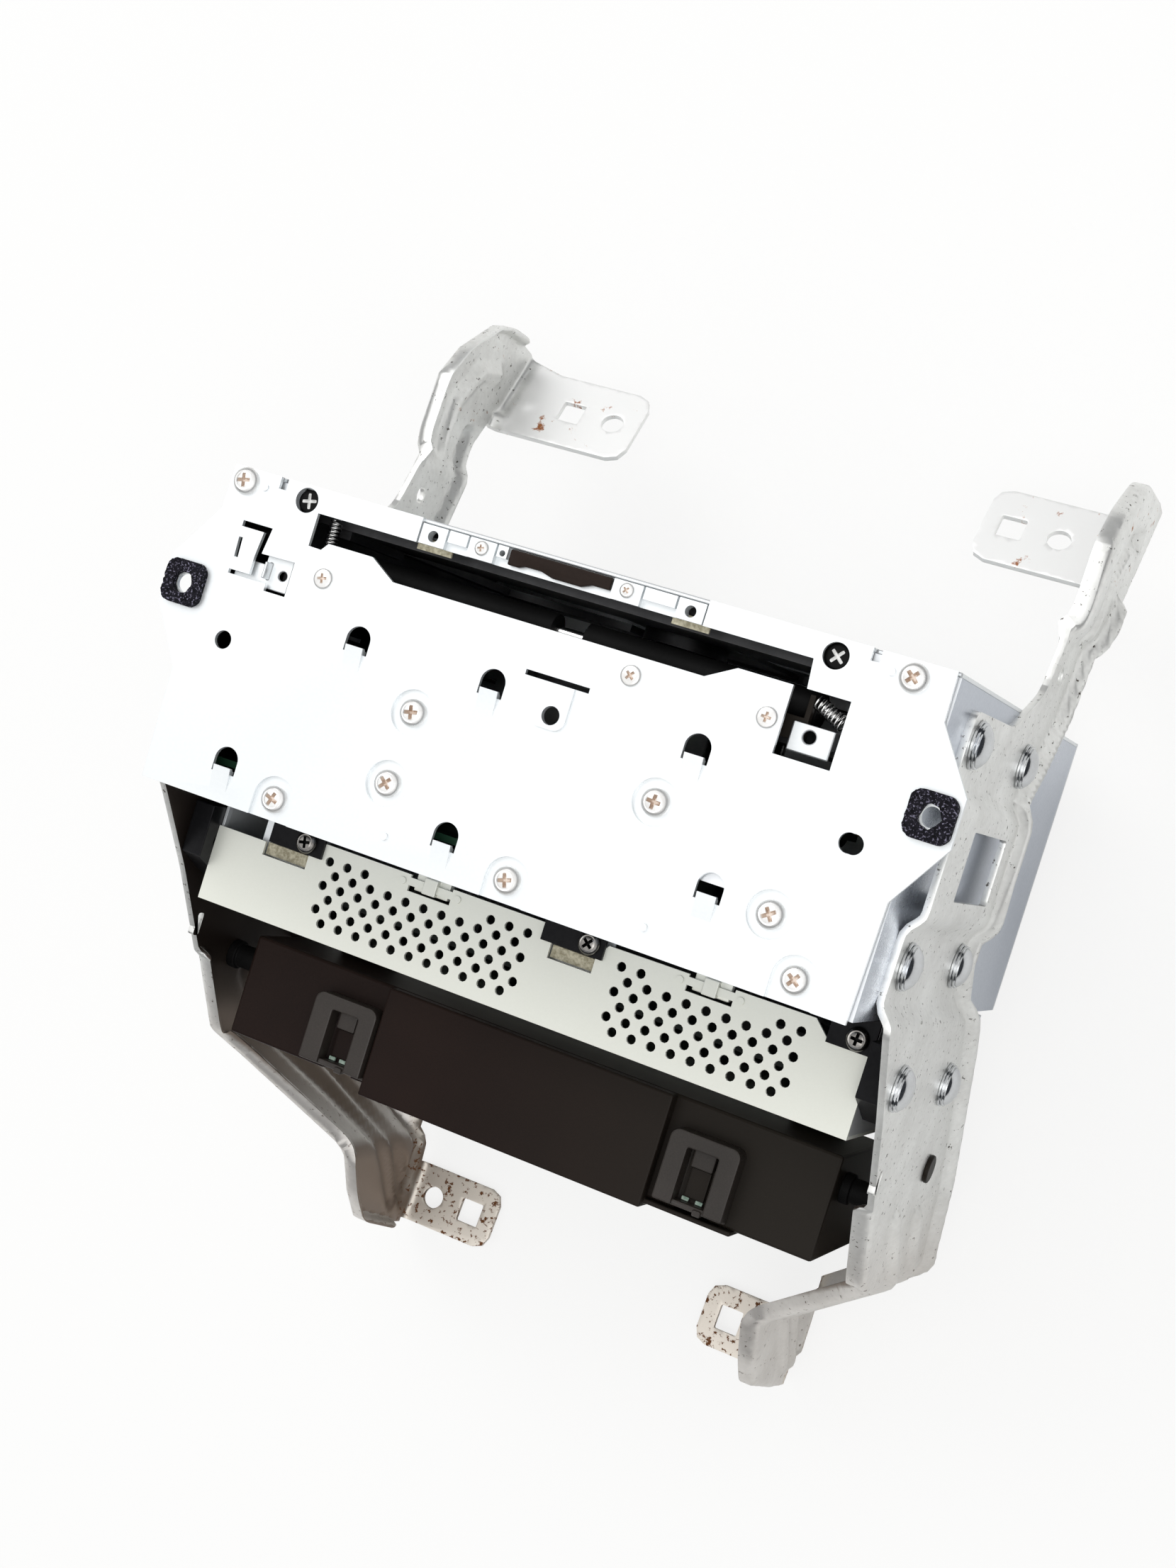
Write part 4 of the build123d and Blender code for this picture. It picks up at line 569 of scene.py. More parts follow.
steel = FINISHES["bracket_steel"]
tree = steel.node_tree
place = object_axes(tree)
inward = inward_mask(tree)
low_feet = span(tree, place["Z"], *ON_TABLE)
low_arm = span(tree, place["Y"], *LOW_ARM)
upper_feet_painted_light = times(
    tree, span(tree, place["Y"], *UPPER_FOOT), span(tree, absolute(tree, place["X"]), *INSIDE_ARM)
)
mask_over(steel, speckle(tree, 640, 0.38), (0.06, 0.045, 0.035), 0.6)
# Painted shade: below the middle, the inner side in the narrow gap beside the housing is tinted nearly black.
mask_over(steel, times(tree, inward, span(tree, place["Y"], *BELOW_MIDDLE)), (0.030, 0.021, 0.017), 0.5)
mask_over(steel, low_feet, (0.84, 0.80, 0.72), 0.5)
# Painted light: the upper feet are tinted nearly white, as they look where the light falls on them.
mask_over(steel, upper_feet_painted_light, (0.98, 0.98, 0.97), 0.55)
mask_over(steel, times(tree, low_arm, LOW_FILM), (0.50, 0.42, 0.365), 0.45)
# Painted shade tinted brown: the inner side of the lower arms is made darker and browner.
mask_over(steel, times(tree, inward, low_arm), (0.24, 0.19, 0.155), 0.45)
mask_over(steel, times(tree, speckle(tree, 520, 0.435, 0.05), low_feet), (0.20, 0.085, 0.035), 0.8)
upper_rust = times(tree, speckle(tree, 160, 0.36), span(tree, place["Y"], *UPPER_RUST))
mask_over(steel, upper_rust, (0.42, 0.17, 0.07), 0.75)
print("bracket steel has", len(tree.nodes), "nodes")

# %% [markdown]
# The black housing is browner at its left end than at its right. The plate is bright, but where it slopes,
# at dishes, louvres and edges, a painted grey shade draws a line where the dark walls would be reflected. The
# chassis is bluer on its sides and gets painted light on its front flange, and painted shade, nearly black,
# on its inner faces and behind the two deep screws. Foam gets light specks as painted glints.

# %% Housing, plate, chassis and foam
TO_THE_RIGHT = (-0.03, 0.07)
NOT_FLAT = (0.975, 0.93)
NOT_UPRIGHT = (0.2, 0.35)
FORWARD = (0.6, 0.8)
DEEP_FROM = (0.0575, 0.0585)
DEEP_TO = (0.0702, 0.0695)

housing = FINISHES["black_plastic"]
tree = housing.node_tree
mask_over(housing, span(tree, object_axes(tree)["X"], *TO_THE_RIGHT), (0.017, 0.014, 0.011), 0.44)

plate = FINISHES["zinc_sheet"]
tree = plate.node_tree
ahead = normal_axes(tree)["Z"]
painted_slope_shade = times(tree, span(tree, ahead, *NOT_FLAT), span(tree, ahead, *NOT_UPRIGHT))
# Painted shade: faces that slope are tinted grey, as a painted reflection of the dark walls.
mask_over(plate, painted_slope_shade, (0.36, 0.37, 0.38), 0.4)

chassis = FINISHES["wall"]
tree = chassis.node_tree
flange_front = span(tree, normal_axes(tree)["Z"], *FORWARD)
across = absolute(tree, object_axes(tree)["X"])
deep_hole_shade = times(tree, span(tree, across, *DEEP_FROM), span(tree, across, *DEEP_TO))
# Painted light: faces of the chassis that look to the front are tinted brighter than its sides.
mask_over(chassis, flange_front, (0.84, 0.86, 0.88), 0.4)
# Painted shade: the front flange behind the two deep screws is tinted black, as the inside of the holes
# looks.
mask_over(chassis, times(tree, deep_hole_shade, flange_front), (0.006, 0.006, 0.006), 0.6)
# Painted shade: faces of the chassis that look inwards are tinted nearly black.
mask_over(chassis, inward_mask(tree), (0.020, 0.020, 0.022), 0.5)

foam_look = FINISHES["foam"]
# Painted glints: light specks of colour on the foam stand for its sparkle.
mask_over(foam_look, speckle(foam_look.node_tree, 1900, 0.44), (0.20, 0.19, 0.26), 0.35)
print("finishes with masks:", [look.name for look in (steel, housing, plate, chassis, foam_look)])

# %% [markdown]
# The pieces that come from the CAD model and stay as they are get their finish from their material slot. The
# disc mechanism, of which little may show behind the slot, gets a dark finish as painted shade, and so does
# the board behind the cover's holes.

# %% Finishes on the carried pieces
OWN_FINISH = {
    "module_board": "dark_board", "mech_deck": "deck", "clamp_arm": "deck", "clamp_puck": "deck",
    "turntable": "deck", "disc_guide": "deck", "pickup_sled": "deck",
}
for node, slot in slot_of.items():
    carried = nodes[node]
    carried.data.materials.clear()
    carried.data.materials.append(FINISHES[OWN_FINISH.get(node, slot)])
print("carried pieces with a finish:", len(slot_of))

# %% [markdown]
# The sheet parts, housings and covers keep the shape of the CAD model, but a real edge is never sharp: a
# bent or moulded edge catches the light as a thin line. So each of these pieces starts as a copy of its
# mesh. Points that lie on each other are merged and the edges are bevelled by a few tenths. Flat areas are
# cleaned first, except on the four large sheets with many holes.

# %% Soft copies of the sheet and moulded parts


SOFT_ANGLE = math.radians(28.0)
SAME_POINT = 0.01


def soft_copy(node, width, smooth, clean):
    source = nodes[node]
    piece = new_object(node + "_soft", source.data.copy())
    piece.matrix_world = source.matrix_world.copy()
    pick(piece)
    edit_mode()
    select_mesh()
    bpy.ops.mesh.remove_doubles(threshold=SAME_POINT * MM)
    if clean:
        bpy.ops.mesh.dissolve_limited(angle_limit=math.radians(1.0))
    bpy.ops.mesh.normals_make_consistent(inside=False)
    object_mode()
    modify(
        piece, "BEVEL", width=width * MM, segments=2, limit_method="ANGLE", angle_limit=SOFT_ANGLE,
        use_clamp_overlap=True, miter_outer="MITER_ARC",
    )
    finish(piece, node, smooth, FINISHES[SOFT_FINISH.get(node, slot_of[node])])


SOFT = {
    "front_plate": 0.22, "module_cover": 0.3, "control_housing": 0.7, "housing_block": 0.9, "snap_loops": 0.5,
    "chassis_shell": 0.3, "top_cover": 0.3, "slot_frame": 0.2, "slot_strip": 0.3, "lock_piece": 0.25,
    "spring_bracket": 0.3, "slot_lip": 0.4, "module_tabs": 0.25, "module_ears": 0.3, "module_clips": 0.25,
    "push_clips": 0.4, "bumpers": 0.5, "rear_panel": 0.2, "heat_sink": 0.3, "fan_frame": 0.4,
    "rear_connectors": 0.4, "module_tray": 0.25,
}
SOFT_FINISH = {"chassis_shell": "wall", "module_ears": "dark_steel", "snap_loops": "loop"}
LARGE_SHEETS = ("front_plate", "module_cover", "top_cover", "chassis_shell")
for node, width in SOFT.items():
    large = node in LARGE_SHEETS
    soft_copy(node, width, 9.0 if large else 20.0, not large)
print("soft copies:", len(SOFT))

# %% [markdown]
# Each side bracket is one piece of pressed sheet. It starts flat, like the blank that goes into the press:
# the side outline with both feet laid flat beside it and all its holes. Cuts in both directions give it
# enough points to bend. Then every point goes where the press puts it: over the folds, up into the ribs and
# around the bend of a foot.

# %% Fold line and side outline of a bracket
STEEL = 1.6
ARM_OUT = 63.5
PAD_OUT = 90.6
RAISED_OUT = 94.0
BEND = 3.2
ARC = (BEND - STEEL / 2) * math.pi / 2
FOLD = [
    (-130.0, ARM_OUT), (-104.0, ARM_OUT), (-79.0, RAISED_OUT), (-10.0, RAISED_OUT), (-7.0, PAD_OUT),
    (10.0, PAD_OUT), (13.0, RAISED_OUT), (39.0, RAISED_OUT), (42.4, PAD_OUT), (85.4, PAD_OUT),
    (87.6, PAD_OUT + 2.5), (93.0, RAISED_OUT), (130.0, RAISED_OUT),
]
WEB_LOW = (-129.2, 6.2)
WEB_REAR = [
    (-104.0, 3.6), (-90.0, 14.0), (-74.4, 25.0), (-55.0, 32.0), (-42.0, 42.0), (-19.5, 58.0), (3.0, 80.0),
    (30.0, 81.5), (43.5, 81.0), (50.0, 72.0), (65.0, 59.5), (84.6, 54.0), (99.0, 50.0),
]
WEB_FRONT = [
    (129.5, 41.0), (129.6, 54.0), (127.8, 61.0), (118.0, 75.0), (109.0, 82.0), (86.0, 83.4),
    (70.0, 90.0), (59.2, 112.0), (58.6, 154.0), (42.0, 154.6), (-12.0, 155.6), (-15.0, 152.4),
    (-33.5, 134.0), (-56.7, 113.7), (-64.8, 106.9), (-76.5, 96.9), (-84.0, 85.0), (-102.5, 59.0),
    (-116.0, 48.5), (-124.5, 39.0), (-129.6, 14.0),
]
RIMS = [WEB_FRONT[13:], [(-46.0, 38.6), *WEB_REAR[3:0:-1], (-100.0, 6.4)], WEB_FRONT[5::-1]]
RIM_SIDES = [(-85.0, 55.0), (-85.0, 55.0), (108.0, 62.0)]
RIM_DEPTH = 3.2
WEB_SLOTS = [(18.0, 34.0, 98.0, 135.0), (-51.0, -45.0, 118.0, 120.6)]
ARM_HOLE = (75.7, 78.6)
print("outline points:", len(WEB_REAR) + len(WEB_FRONT) + 1)

# %% [markdown]
# A foot is a tongue that is folded inwards, towards the middle of the unit, along its own bend line. Across
# means along that line and down means away from it, on the sheet. The face is how far out the arm stands at
# the bend, and the end is how far out the tip still lies. The upper foot widens towards its bend on one side
# and has two dents near it.

# %% Feet
FEET = {
    "low": {
        "place": (-119.4, 3.2), "tilt": 9.1, "width": 17.7, "end": 34.2, "face": ARM_OUT, "corner": 4.0,
        "flare": 0.0, "dents": [],
    },
    "up": {
        "place": (112.6, 38.8), "tilt": 30.1, "width": 24.0, "end": 51.0, "face": RAISED_OUT, "corner": 4.5,
        "flare": 3.6, "dents": [(-1.0, 8.6, 3.4, 0.9), (-8.6, 3.0, 4.2, 1.3)],
    },
}
FLARE_LENGTH = 14.0


def foot_point(foot, across, down):
    tilt = math.radians(foot["tilt"])
    rise = BEND - STEEL - down
    y, z = foot["place"]
    side = y + across * math.cos(tilt) + rise * math.sin(tilt)
    return (side, z - across * math.sin(tilt) + rise * math.cos(tilt))


def flange(foot):
    half = foot["width"] / 2
    reach = ARC + foot["face"] - BEND - foot["end"]
    corner = foot["corner"]
    tip = [(-half, reach - corner), (-half + corner * 0.3, reach - corner * 0.3), (-half + corner, reach)]
    flare = foot["flare"]
    shares = (0.0, 0.35, 0.7, 1.0) if flare else (1.0,)
    root = [(half + flare * k, FLARE_LENGTH * (1 - k)) for k in shares]
    whole = [(-half, 0.0), *tip, *[(-a, d) for a, d in reversed(tip)], *root]
    return [foot_point(foot, a, d) for a, d in whole]


print("feet:", list(FEET))

# %% [markdown]
# A flat piece is drawn as closed lines, the outer one and the holes, and filled and thickened. Corners are
# rounded as the tool that cuts the blank would leave them.

# %% Flat pieces with rounded corners


def rounded(points, radius, steps=4):
    ring = []
    for i, corner in enumerate(points):
        here = Vector(corner)
        before = Vector(points[i - 1]) - here
        after = Vector(points[(i + 1) % len(points)]) - here
        reach = min(radius, before.length * 0.45, after.length * 0.45)
        start = here + before.normalized() * reach
        stop = here + after.normalized() * reach
        for step in range(steps + 1):
            t = step / steps
            ring.append(start * (1 - t) ** 2 + here * 2 * t * (1 - t) + stop * t ** 2)
    return ring


def circle(centre, radius, count=28):
    steps = [math.tau * i / count for i in range(count)]
    return [(centre[0] + radius * math.cos(a), centre[1] + radius * math.sin(a)) for a in steps]


def flat_piece(name, rings, thick):
    drawing = bpy.data.curves.new(name, "CURVE")
    drawing.dimensions = "2D"
    drawing.fill_mode = "BOTH"
    for ring in rings:
        line = drawing.splines.new("POLY")
        line.points.add(len(ring) - 1)
        for point, place in zip(line.points, ring):
            point.co = (place[0], place[1], 0.0, 1.0)
        line.use_cyclic_u = True
    sheet = new_object(name, drawing)
    pick(sheet)
    bpy.ops.object.convert(target="MESH")
    sheet = bpy.context.object
    edit_mode()
    select_mesh()
    bpy.ops.mesh.remove_doubles(threshold=0.001)
    bpy.ops.mesh.dissolve_limited(angle_limit=math.radians(0.5))
    bpy.ops.mesh.extrude_region_move(TRANSFORM_OT_translate={"value": (0.0, 0.0, thick)})
    select_mesh()
    bpy.ops.mesh.normals_make_consistent(inside=False)
    object_mode()
    return sheet


print("a hole is drawn with", len(circle(ARM_HOLE, 1.0)), "points")

# %% [markdown]
# The blank needs points wherever it will bend. Straight cuts run through it in both directions, and beside
# the rims a few cuts follow the edge, because a grid alone would leave the rims stepped.

# %% Cuts through a flat piece


def slice_up(piece, axis, start, stop, step):
    pick(piece)
    edit_mode()
    direction = tuple(1.0 if i == axis else 0.0 for i in range(3))
    for i in range(int((stop - start) / step) + 1):
        place = tuple((start + i * step) if k == axis else 0.0 for k in range(3))
        select_mesh()
        bpy.ops.mesh.bisect(plane_co=place, plane_no=direction)
    object_mode()


CUT_REACH = 4.0
CUT_WIDTH = 5.0


def slice_beside(piece, start, stop, inside, offsets):
    run = (stop - start).normalized()
    aside = Vector((run.y, -run.x))
    if (inside - start).dot(aside) < 0.0:
        aside = -aside
    middle = (start + stop) / 2
    reach = (stop - start).length / 2 + CUT_REACH
    for offset in offsets:
        place = start + aside * offset
        pick(piece)
        faces = piece.data.polygons
        centres = np.empty(len(faces) * 3)
        faces.foreach_get("center", centres)
        away = centres.reshape(-1, 3)[:, :2] - np.array(middle)
        along = np.abs(away @ np.array(run)) < reach
        across = np.abs(away @ np.array(aside)) < CUT_WIDTH
        edit_mode()
        bpy.ops.mesh.select_all(action="DESELECT")
        object_mode()
        faces.foreach_set("select", along & across)
        edit_mode()
        bpy.ops.mesh.bisect(plane_co=(place.x, place.y, 0.0), plane_no=(aside.x, aside.y, 0.0))
        object_mode()


print("cuts beside an edge reach", CUT_REACH, "mm past its ends")

# %% [markdown]
# Both blanks share one outline, a window, a slot and the arm hole. Each foot has a round and a square hole,
# and on the upper feet the two change places from one bracket to the other. The rear and front lines are
# open ones, so at each of their ends only half of the rounded corner is kept.

# %% Two blanks
CUT_STEP = 1.5
RIM_CUTS = (0.7, 1.4, 2.0, 2.6)
OUTLINE_CORNER = 4.0
SLOT_CORNER = 0.8
SQUARE_CORNER = 0.5
ARM_HOLE_RADIUS = 2.3
FOOT_HOLE_RADIUS = 3.2
SQUARE_HALF = 3.45


def open_line(points):
    return rounded(points, OUTLINE_CORNER)[2:-2]


def blank(name, round_holes, square_holes):
    low_foot = [Vector(point) for point in flange(FEET["low"])]
    up_foot = [Vector(point) for point in flange(FEET["up"])]
    rings = [[Vector(WEB_LOW), *low_foot, *open_line(WEB_REAR), *up_foot, *open_line(WEB_FRONT)]]
    for low, high, rear, front in WEB_SLOTS:
        rings.append(rounded([(low, rear), (high, rear), (high, front), (low, front)], SLOT_CORNER, 2))
    rings.append(circle(ARM_HOLE, ARM_HOLE_RADIUS))
    for foot, out in round_holes:
        down = ARC + FEET[foot]["face"] - BEND - out
        rings.append(circle(foot_point(FEET[foot], 0.0, down), FOOT_HOLE_RADIUS))
    for foot, out in square_holes:
        down = ARC + FEET[foot]["face"] - BEND - out
        half = SQUARE_HALF
        square = [(-half, -half), (half, -half), (half, half), (-half, half)]
        corners = [foot_point(FEET[foot], a, down + d) for a, d in square]
        rings.append(rounded(corners, SQUARE_CORNER, 2))
    sheet = flat_piece(name, rings, STEEL)
    slice_up(sheet, 0, -129.0, 129.0, CUT_STEP)
    slice_up(sheet, 1, -26.0, 155.0, CUT_STEP)
    for rim, inside in zip(RIMS, RIM_SIDES):
        for a, b in zip(rim, rim[1:]):
            slice_beside(sheet, Vector(a), Vector(b), Vector(inside), RIM_CUTS)
    return sheet


right_blank = blank("right_bracket_sheet", [("low", 55.0), ("up", 71.9)], [("low", 42.4), ("up", 58.8)])
left_blank = blank("left_bracket_sheet", [("low", 55.0), ("up", 58.8)], [("low", 42.4), ("up", 71.9)])
print("blank points:", len(right_blank.data.vertices), len(left_blank.data.vertices))

# %% [markdown]
# The press comes as a rule for each point. Its height across the unit follows the fold line, rounded over a
# short length as the bend radius of sheet does. A rib adds a smooth height that falls off with the distance
# from its line. Each rib has a top, half a width and a power that makes its crown broad or narrow.

# %% Folds and ribs
RIBS = [
    (2.6, 3.4, 0.5, [
        (-118.0, 8.0), (-104.0, 9.0), (-88.0, 20.0), (-74.0, 30.0), (-55.0, 37.0), (-42.0, 46.5),
        (-19.5, 63.0), (2.0, 83.0), (30.0, 85.0), (41.0, 84.8),
    ]),
    (3.2, 3.9, 0.8, [(40.0, 84.8), (46.0, 81.0), (52.0, 75.0), (66.5, 64.5), (84.0, 59.0), (97.0, 55.5)]),
    (-2.2, 3.4, 0.6, [(88.0, 70.5), (104.0, 69.0), (114.0, 60.0), (116.0, 50.0)]),
    (1.8, 3.0, 0.5, [(-60.0, 88.0), (-76.0, 70.0), (-92.0, 48.0), (-108.0, 30.0), (-122.0, 16.0)]),
    (1.8, 3.0, 0.5, [(-62.0, 62.0), (-76.0, 50.0), (-94.0, 34.0), (-110.0, 19.0), (-122.0, 9.0)]),
]


def fold_out(y):
    for (y0, x0), (y1, x1) in zip(FOLD, FOLD[1:]):
        if y <= y1:
            return x0 + (x1 - x0) * (y - y0) / (y1 - y0)
    return FOLD[-1][1]


SMOOTHING = {-2.0: 1, -1.5: 2, -1.0: 3, -0.5: 4, 0.0: 5, 0.5: 4, 1.0: 3, 1.5: 2, 2.0: 1}
FOLD_END = 129.9


def soft_fold(y):
    places = [(min(max(y + d, -FOLD_END), FOLD_END), k) for d, k in SMOOTHING.items()]
    return sum(fold_out(place) * k for place, k in places) / sum(SMOOTHING.values())


def smooth_step(share):
    share = min(max(share, 0.0), 1.0)
    return share * share * (3.0 - 2.0 * share)


def line_distance(point, line):
    least = 1000.0
    for a, b in zip(line, line[1:]):
        start = Vector(a)
        run = Vector(b) - start
        share = min(max((point - start).dot(run) / run.length_squared, 0.0), 1.0)
        least = min(least, (point - start - run * share).length)
    return least


def bell(gap, reach):
    return 0.5 + 0.5 * math.cos(math.pi * gap / reach)


def rib_height(y, z):
    height = 0.0
    for top, half, power, line in RIBS:
        gap = line_distance(Vector((y, z)), line)
        if gap < half:
            rise = top * bell(gap, half) ** power
            height = rise if abs(rise) > abs(height) else height
    return height


print("fold depth:", round(soft_fold(FOLD_END) - soft_fold(-FOLD_END), 1), "mm")

# %% [markdown]
# Beyond a bend line the sheet rolls over a quarter circle and goes on flat as the foot. Along the rims the
# outer side of the sheet is rounded off and its inner side is drawn inwards, so the arms look like shallow
# channels. A small bevel breaks the cut edges.

# %% Press the brackets
EDGE_ROUND = 2.5
RIM_WIDTH = 2.6
RIM_RISE = 1.9
SLOPE_STEP = 0.3
BROKEN_EDGE = 0.28


def pressed(y, z, depth):
    for foot in FEET.values():
        tilt = math.radians(foot["tilt"])
        dy = y - foot["place"][0]
        dz = z - foot["place"][1]
        across = dy * math.cos(tilt) - dz * math.sin(tilt)
        down = BEND - STEEL - dy * math.sin(tilt) - dz * math.cos(tilt)
        if down > 0.0 and abs(across) < foot["width"] / 2 + foot["flare"] + 0.05:
            radius = BEND - depth
            angle = min(down / ARC, 1.0) * math.pi / 2
            out = foot["face"] - BEND + radius * math.cos(angle) - max(down - ARC, 0.0)
            lift = radius * math.sin(angle)
            for a, d, reach, height in foot["dents"]:
                gap = math.hypot(across - a, down - d)
                if gap < reach:
                    lift -= height * bell(gap, reach)
            return (out, *foot_point(foot, across, lift))
    edge = min(line_distance(Vector((y, z)), rim) for rim in RIMS)
    if depth < STEEL / 2 and edge < EDGE_ROUND:
        depth += EDGE_ROUND - math.sqrt(EDGE_ROUND ** 2 - (EDGE_ROUND - edge) ** 2)
    elif depth > STEEL / 2 and edge < RIM_WIDTH:
        depth += RIM_DEPTH * smooth_step((RIM_WIDTH - edge) / RIM_RISE)
    slope = (soft_fold(y + SLOPE_STEP) - soft_fold(y - SLOPE_STEP)) / (2 * SLOPE_STEP)
    length = math.hypot(1.0, slope)
    step = rib_height(y, z) - depth
    return (soft_fold(y) + step / length, y - step * slope / length, z)


def press(sheet, side, node):
    for point in sheet.data.vertices:
        out, y, z = pressed(point.co.x, point.co.y, point.co.z)
        point.co = Vector((side * out, y, z)) * MM
    face_outwards(sheet)
    sharp = math.radians(66.0)
    modify(sheet, "BEVEL", width=BROKEN_EDGE * MM, segments=2, limit_method="ANGLE", angle_limit=sharp)
    finish(sheet, node, 50.0, FINISHES["bracket_steel"])


press(right_blank, 1, "right_bracket")
press(left_blank, -1, "left_bracket")

# %% [markdown]
# Screws and pads are small, but the eye goes to them first. A screw is turned: half its outline is spun
# about its axis. The cross recess is cut by two crossed bars that narrow towards the bottom, and its walls
# get a finish of their own: a warm painted shade in most screws, black painted shade in the module screws
# and a white painted glint in the deep ones. One screw of each kind is made and copied to all its places.

# %% Turned screws with a cross recess


def turned(name, profile, steps=40):
    points = [(r * MM, 0.0, z * MM) for r, z in profile]
    mesh = bpy.data.meshes.new(name)
    mesh.from_pydata(points, [(i, i + 1) for i in range(len(points) - 1)], [])
    piece = new_object(name, mesh)
    pick(piece)
    edit_mode()
    select_mesh()
    bpy.ops.mesh.spin(steps=steps, angle=math.tau, center=(0, 0, 0), axis=(0, 0, 1))
    select_mesh()
    bpy.ops.mesh.remove_doubles(threshold=0.000005)
    bpy.ops.mesh.normals_make_consistent(inside=False)
    object_mode()
    return piece


RECESS_TAPER = 0.45
RECESS_HALF = 0.15
RECESS_DEPTH = 0.75
ABOVE_HEAD = 0.2


def cross_bar(reach, half, top, depth, turn):
    bpy.ops.mesh.primitive_cube_add(size=1.0, location=(0, 0, (top - depth / 2) * MM))
    bar = bpy.context.object
    bar.scale = (2 * reach * MM, 2 * half * MM, depth * MM)
    bar.rotation_euler = (0, 0, turn)
    settle(bar)
    choose(bar, lambda face: face.normal.z < -0.9)
    bpy.ops.transform.resize(value=(RECESS_TAPER, RECESS_TAPER, 1.0), center_override=(0, 0, 0))
    object_mode()
    return bar


HEAD = [
    (0.0, 1.0), (0.50, 0.98), (0.62, 0.88), (0.72, 0.92), (0.88, 0.74), (0.97, 0.45), (1.0, 0.2), (1.0, 0.0),
]


def cross_screw(name, radius, height, shank, length, looks, share):
    profile = [(radius * r, height * z) for r, z in HEAD]
    profile += [(shank, 0.0), (shank, -length), (0.0, -length)]
    screw = turned(name, profile)
    reach = radius * share
    for angle in (0.0, math.pi / 2):
        depth = height * RECESS_DEPTH + ABOVE_HEAD
        bar = cross_bar(reach, radius * RECESS_HALF, height + ABOVE_HEAD, depth, angle)
        modify(screw, "BOOLEAN", object=bar, operation="DIFFERENCE", solver="EXACT")
        bpy.data.objects.remove(bar)
    for look in looks:
        screw.data.materials.append(look)
    for face in screw.data.polygons:
        inside = math.hypot(face.center.x, face.center.y) < reach * 1.01 * MM
        face.material_index = int(inside and 0.0 < face.center.z < height * 0.9 * MM)
    return screw


print("outline of a head has", len(HEAD), "points")

# %% [markdown]
# Each row is one kind of screw: radius and height of the head, radius and length of the shank, the height of
# its seat and its places. Screws don't stop at the same angle when they are tightened, so each one in a row
# is turned further than the one before it.

# %% Screws in their places
FRONT = 172.0
FIRST_TURN = 12.0
NEXT_TURN = 37.0


def scatter(master, places, name):
    copies = []
    for place in places:
        twin = master.copy()
        twin.data = master.data.copy()
        bpy.context.collection.objects.link(twin)
        twin.matrix_world = place
        copies.append(twin)
    bpy.data.objects.remove(master)
    for twin in copies:
        settle(twin)
    return join(copies, name)


def upright(x, y, z, turn=0.0):
    return Matrix.Translation(Vector((x, y, z)) * MM) @ Matrix.Rotation(math.radians(turn), 4, "Z")


SCREW_ROWS = [
    ("plate_screws", 3.2, 1.7, 1.5, 6.0, FRONT - 0.8, [
        (-26.3, 22.0), (-27.2, 5.3), (34.4, 19.9), (65.9, 5.2), (-53.3, -6.4), (7.2, -6.3), (75.1, -6.0),
    ]),
    ("corner_screws", 3.2, 1.7, 1.5, 6.0, FRONT, [(-84.2, 61.0), (79.9, 60.4)]),
    ("small_screws", 2.4, 0.8, 1.5, 2.8, FRONT, [(-57.6, 44.6), (20.7, 44.0), (52.5, 44.0)]),
    ("deep_screws", 2.9, 0.7, 1.2, 5.0, FRONT - 1.8, [(-67.6, 60.6), (62.7, 60.3)]),
    ("tab_screws", 1.7, 0.7, 0.8, 4.0, FRONT - 0.2, [(-22.0, 61.2), (13.9, 61.2)]),
    ("module_screws", 2.8, 1.5, 1.5, 6.0, 134.0, [(-61.7, -17.3), (16.1, -17.3), (82.9, -17.3)]),
]
# Deep screws get painted shade on the head and a painted glint in the cross; module screws get painted shade
# in the recess.
SCREW_LOOKS = {"deep_screws": ("deep", "glint"), "module_screws": ("dull", "deep")}
for node, radius, height, shank, length, seat, spots in SCREW_ROWS:
    looks = [FINISHES[name] for name in SCREW_LOOKS.get(node, ("head", "recess"))]
    share = 0.72 if node == "deep_screws" else 0.56
    master = cross_screw(node + "_turned", radius, height, shank, length, looks, share)
    places = [upright(x, y, seat, NEXT_TURN * i + FIRST_TURN) for i, (x, y) in enumerate(spots)]
    finish(scatter(master, places, node + "_turned"), node, 32.0)
print("kinds of cross-head screws:", len(SCREW_ROWS))

# %% [markdown]
# The bracket screws are made without a recess. They are domes on a double washer, and their polish is what
# makes them stand out. Half the outline of dome, washers and shank is turned about the axis in fine steps.

# %% Dome screws of the brackets
DOME = [
    (0.0, 3.7), (1.2, 3.6), (2.4, 3.32), (3.5, 2.84), (4.3, 2.25), (4.75, 1.75), (4.75, 1.5), (5.1, 1.46),
    (5.2, 1.3), (5.2, 1.05), (4.85, 0.95), (4.85, 0.8), (5.4, 0.74), (5.5, 0.6), (5.5, 0.15), (5.3, 0.0),
    (2.4, 0.0), (2.4, -5.0), (0.0, -5.0),
]
DOME_SPOTS = [
    (51.8, 146.3, PAD_OUT), (52.0, 90.0, PAD_OUT), (2.2, 146.0, PAD_OUT), (2.5, 93.0, PAD_OUT),
    (-24.8, 131.0, RAISED_OUT), (-26.5, 79.0, RAISED_OUT),
]
dome = turned("dome_screws", DOME, 56)
dome.data.materials.append(FINISHES["dome"])
places = []
for side in (-1, 1):
    for y, z, face in DOME_SPOTS:
        lean = Matrix.Rotation(side * math.pi / 2, 4, "Y")
        places.append(Matrix.Translation(Vector((side * face, y, z)) * MM) @ lean)
finish(scatter(dome, places, "bracket_screws_turned"), "bracket_screws", 30.0)

# %% [markdown]
# The pads on the ears are cut from black foam. Foam tears more than it cuts, so the hole is ragged, the
# edges are soft and the whole surface is a little uneven. A fine grid of points is moved by noise to get
# there.

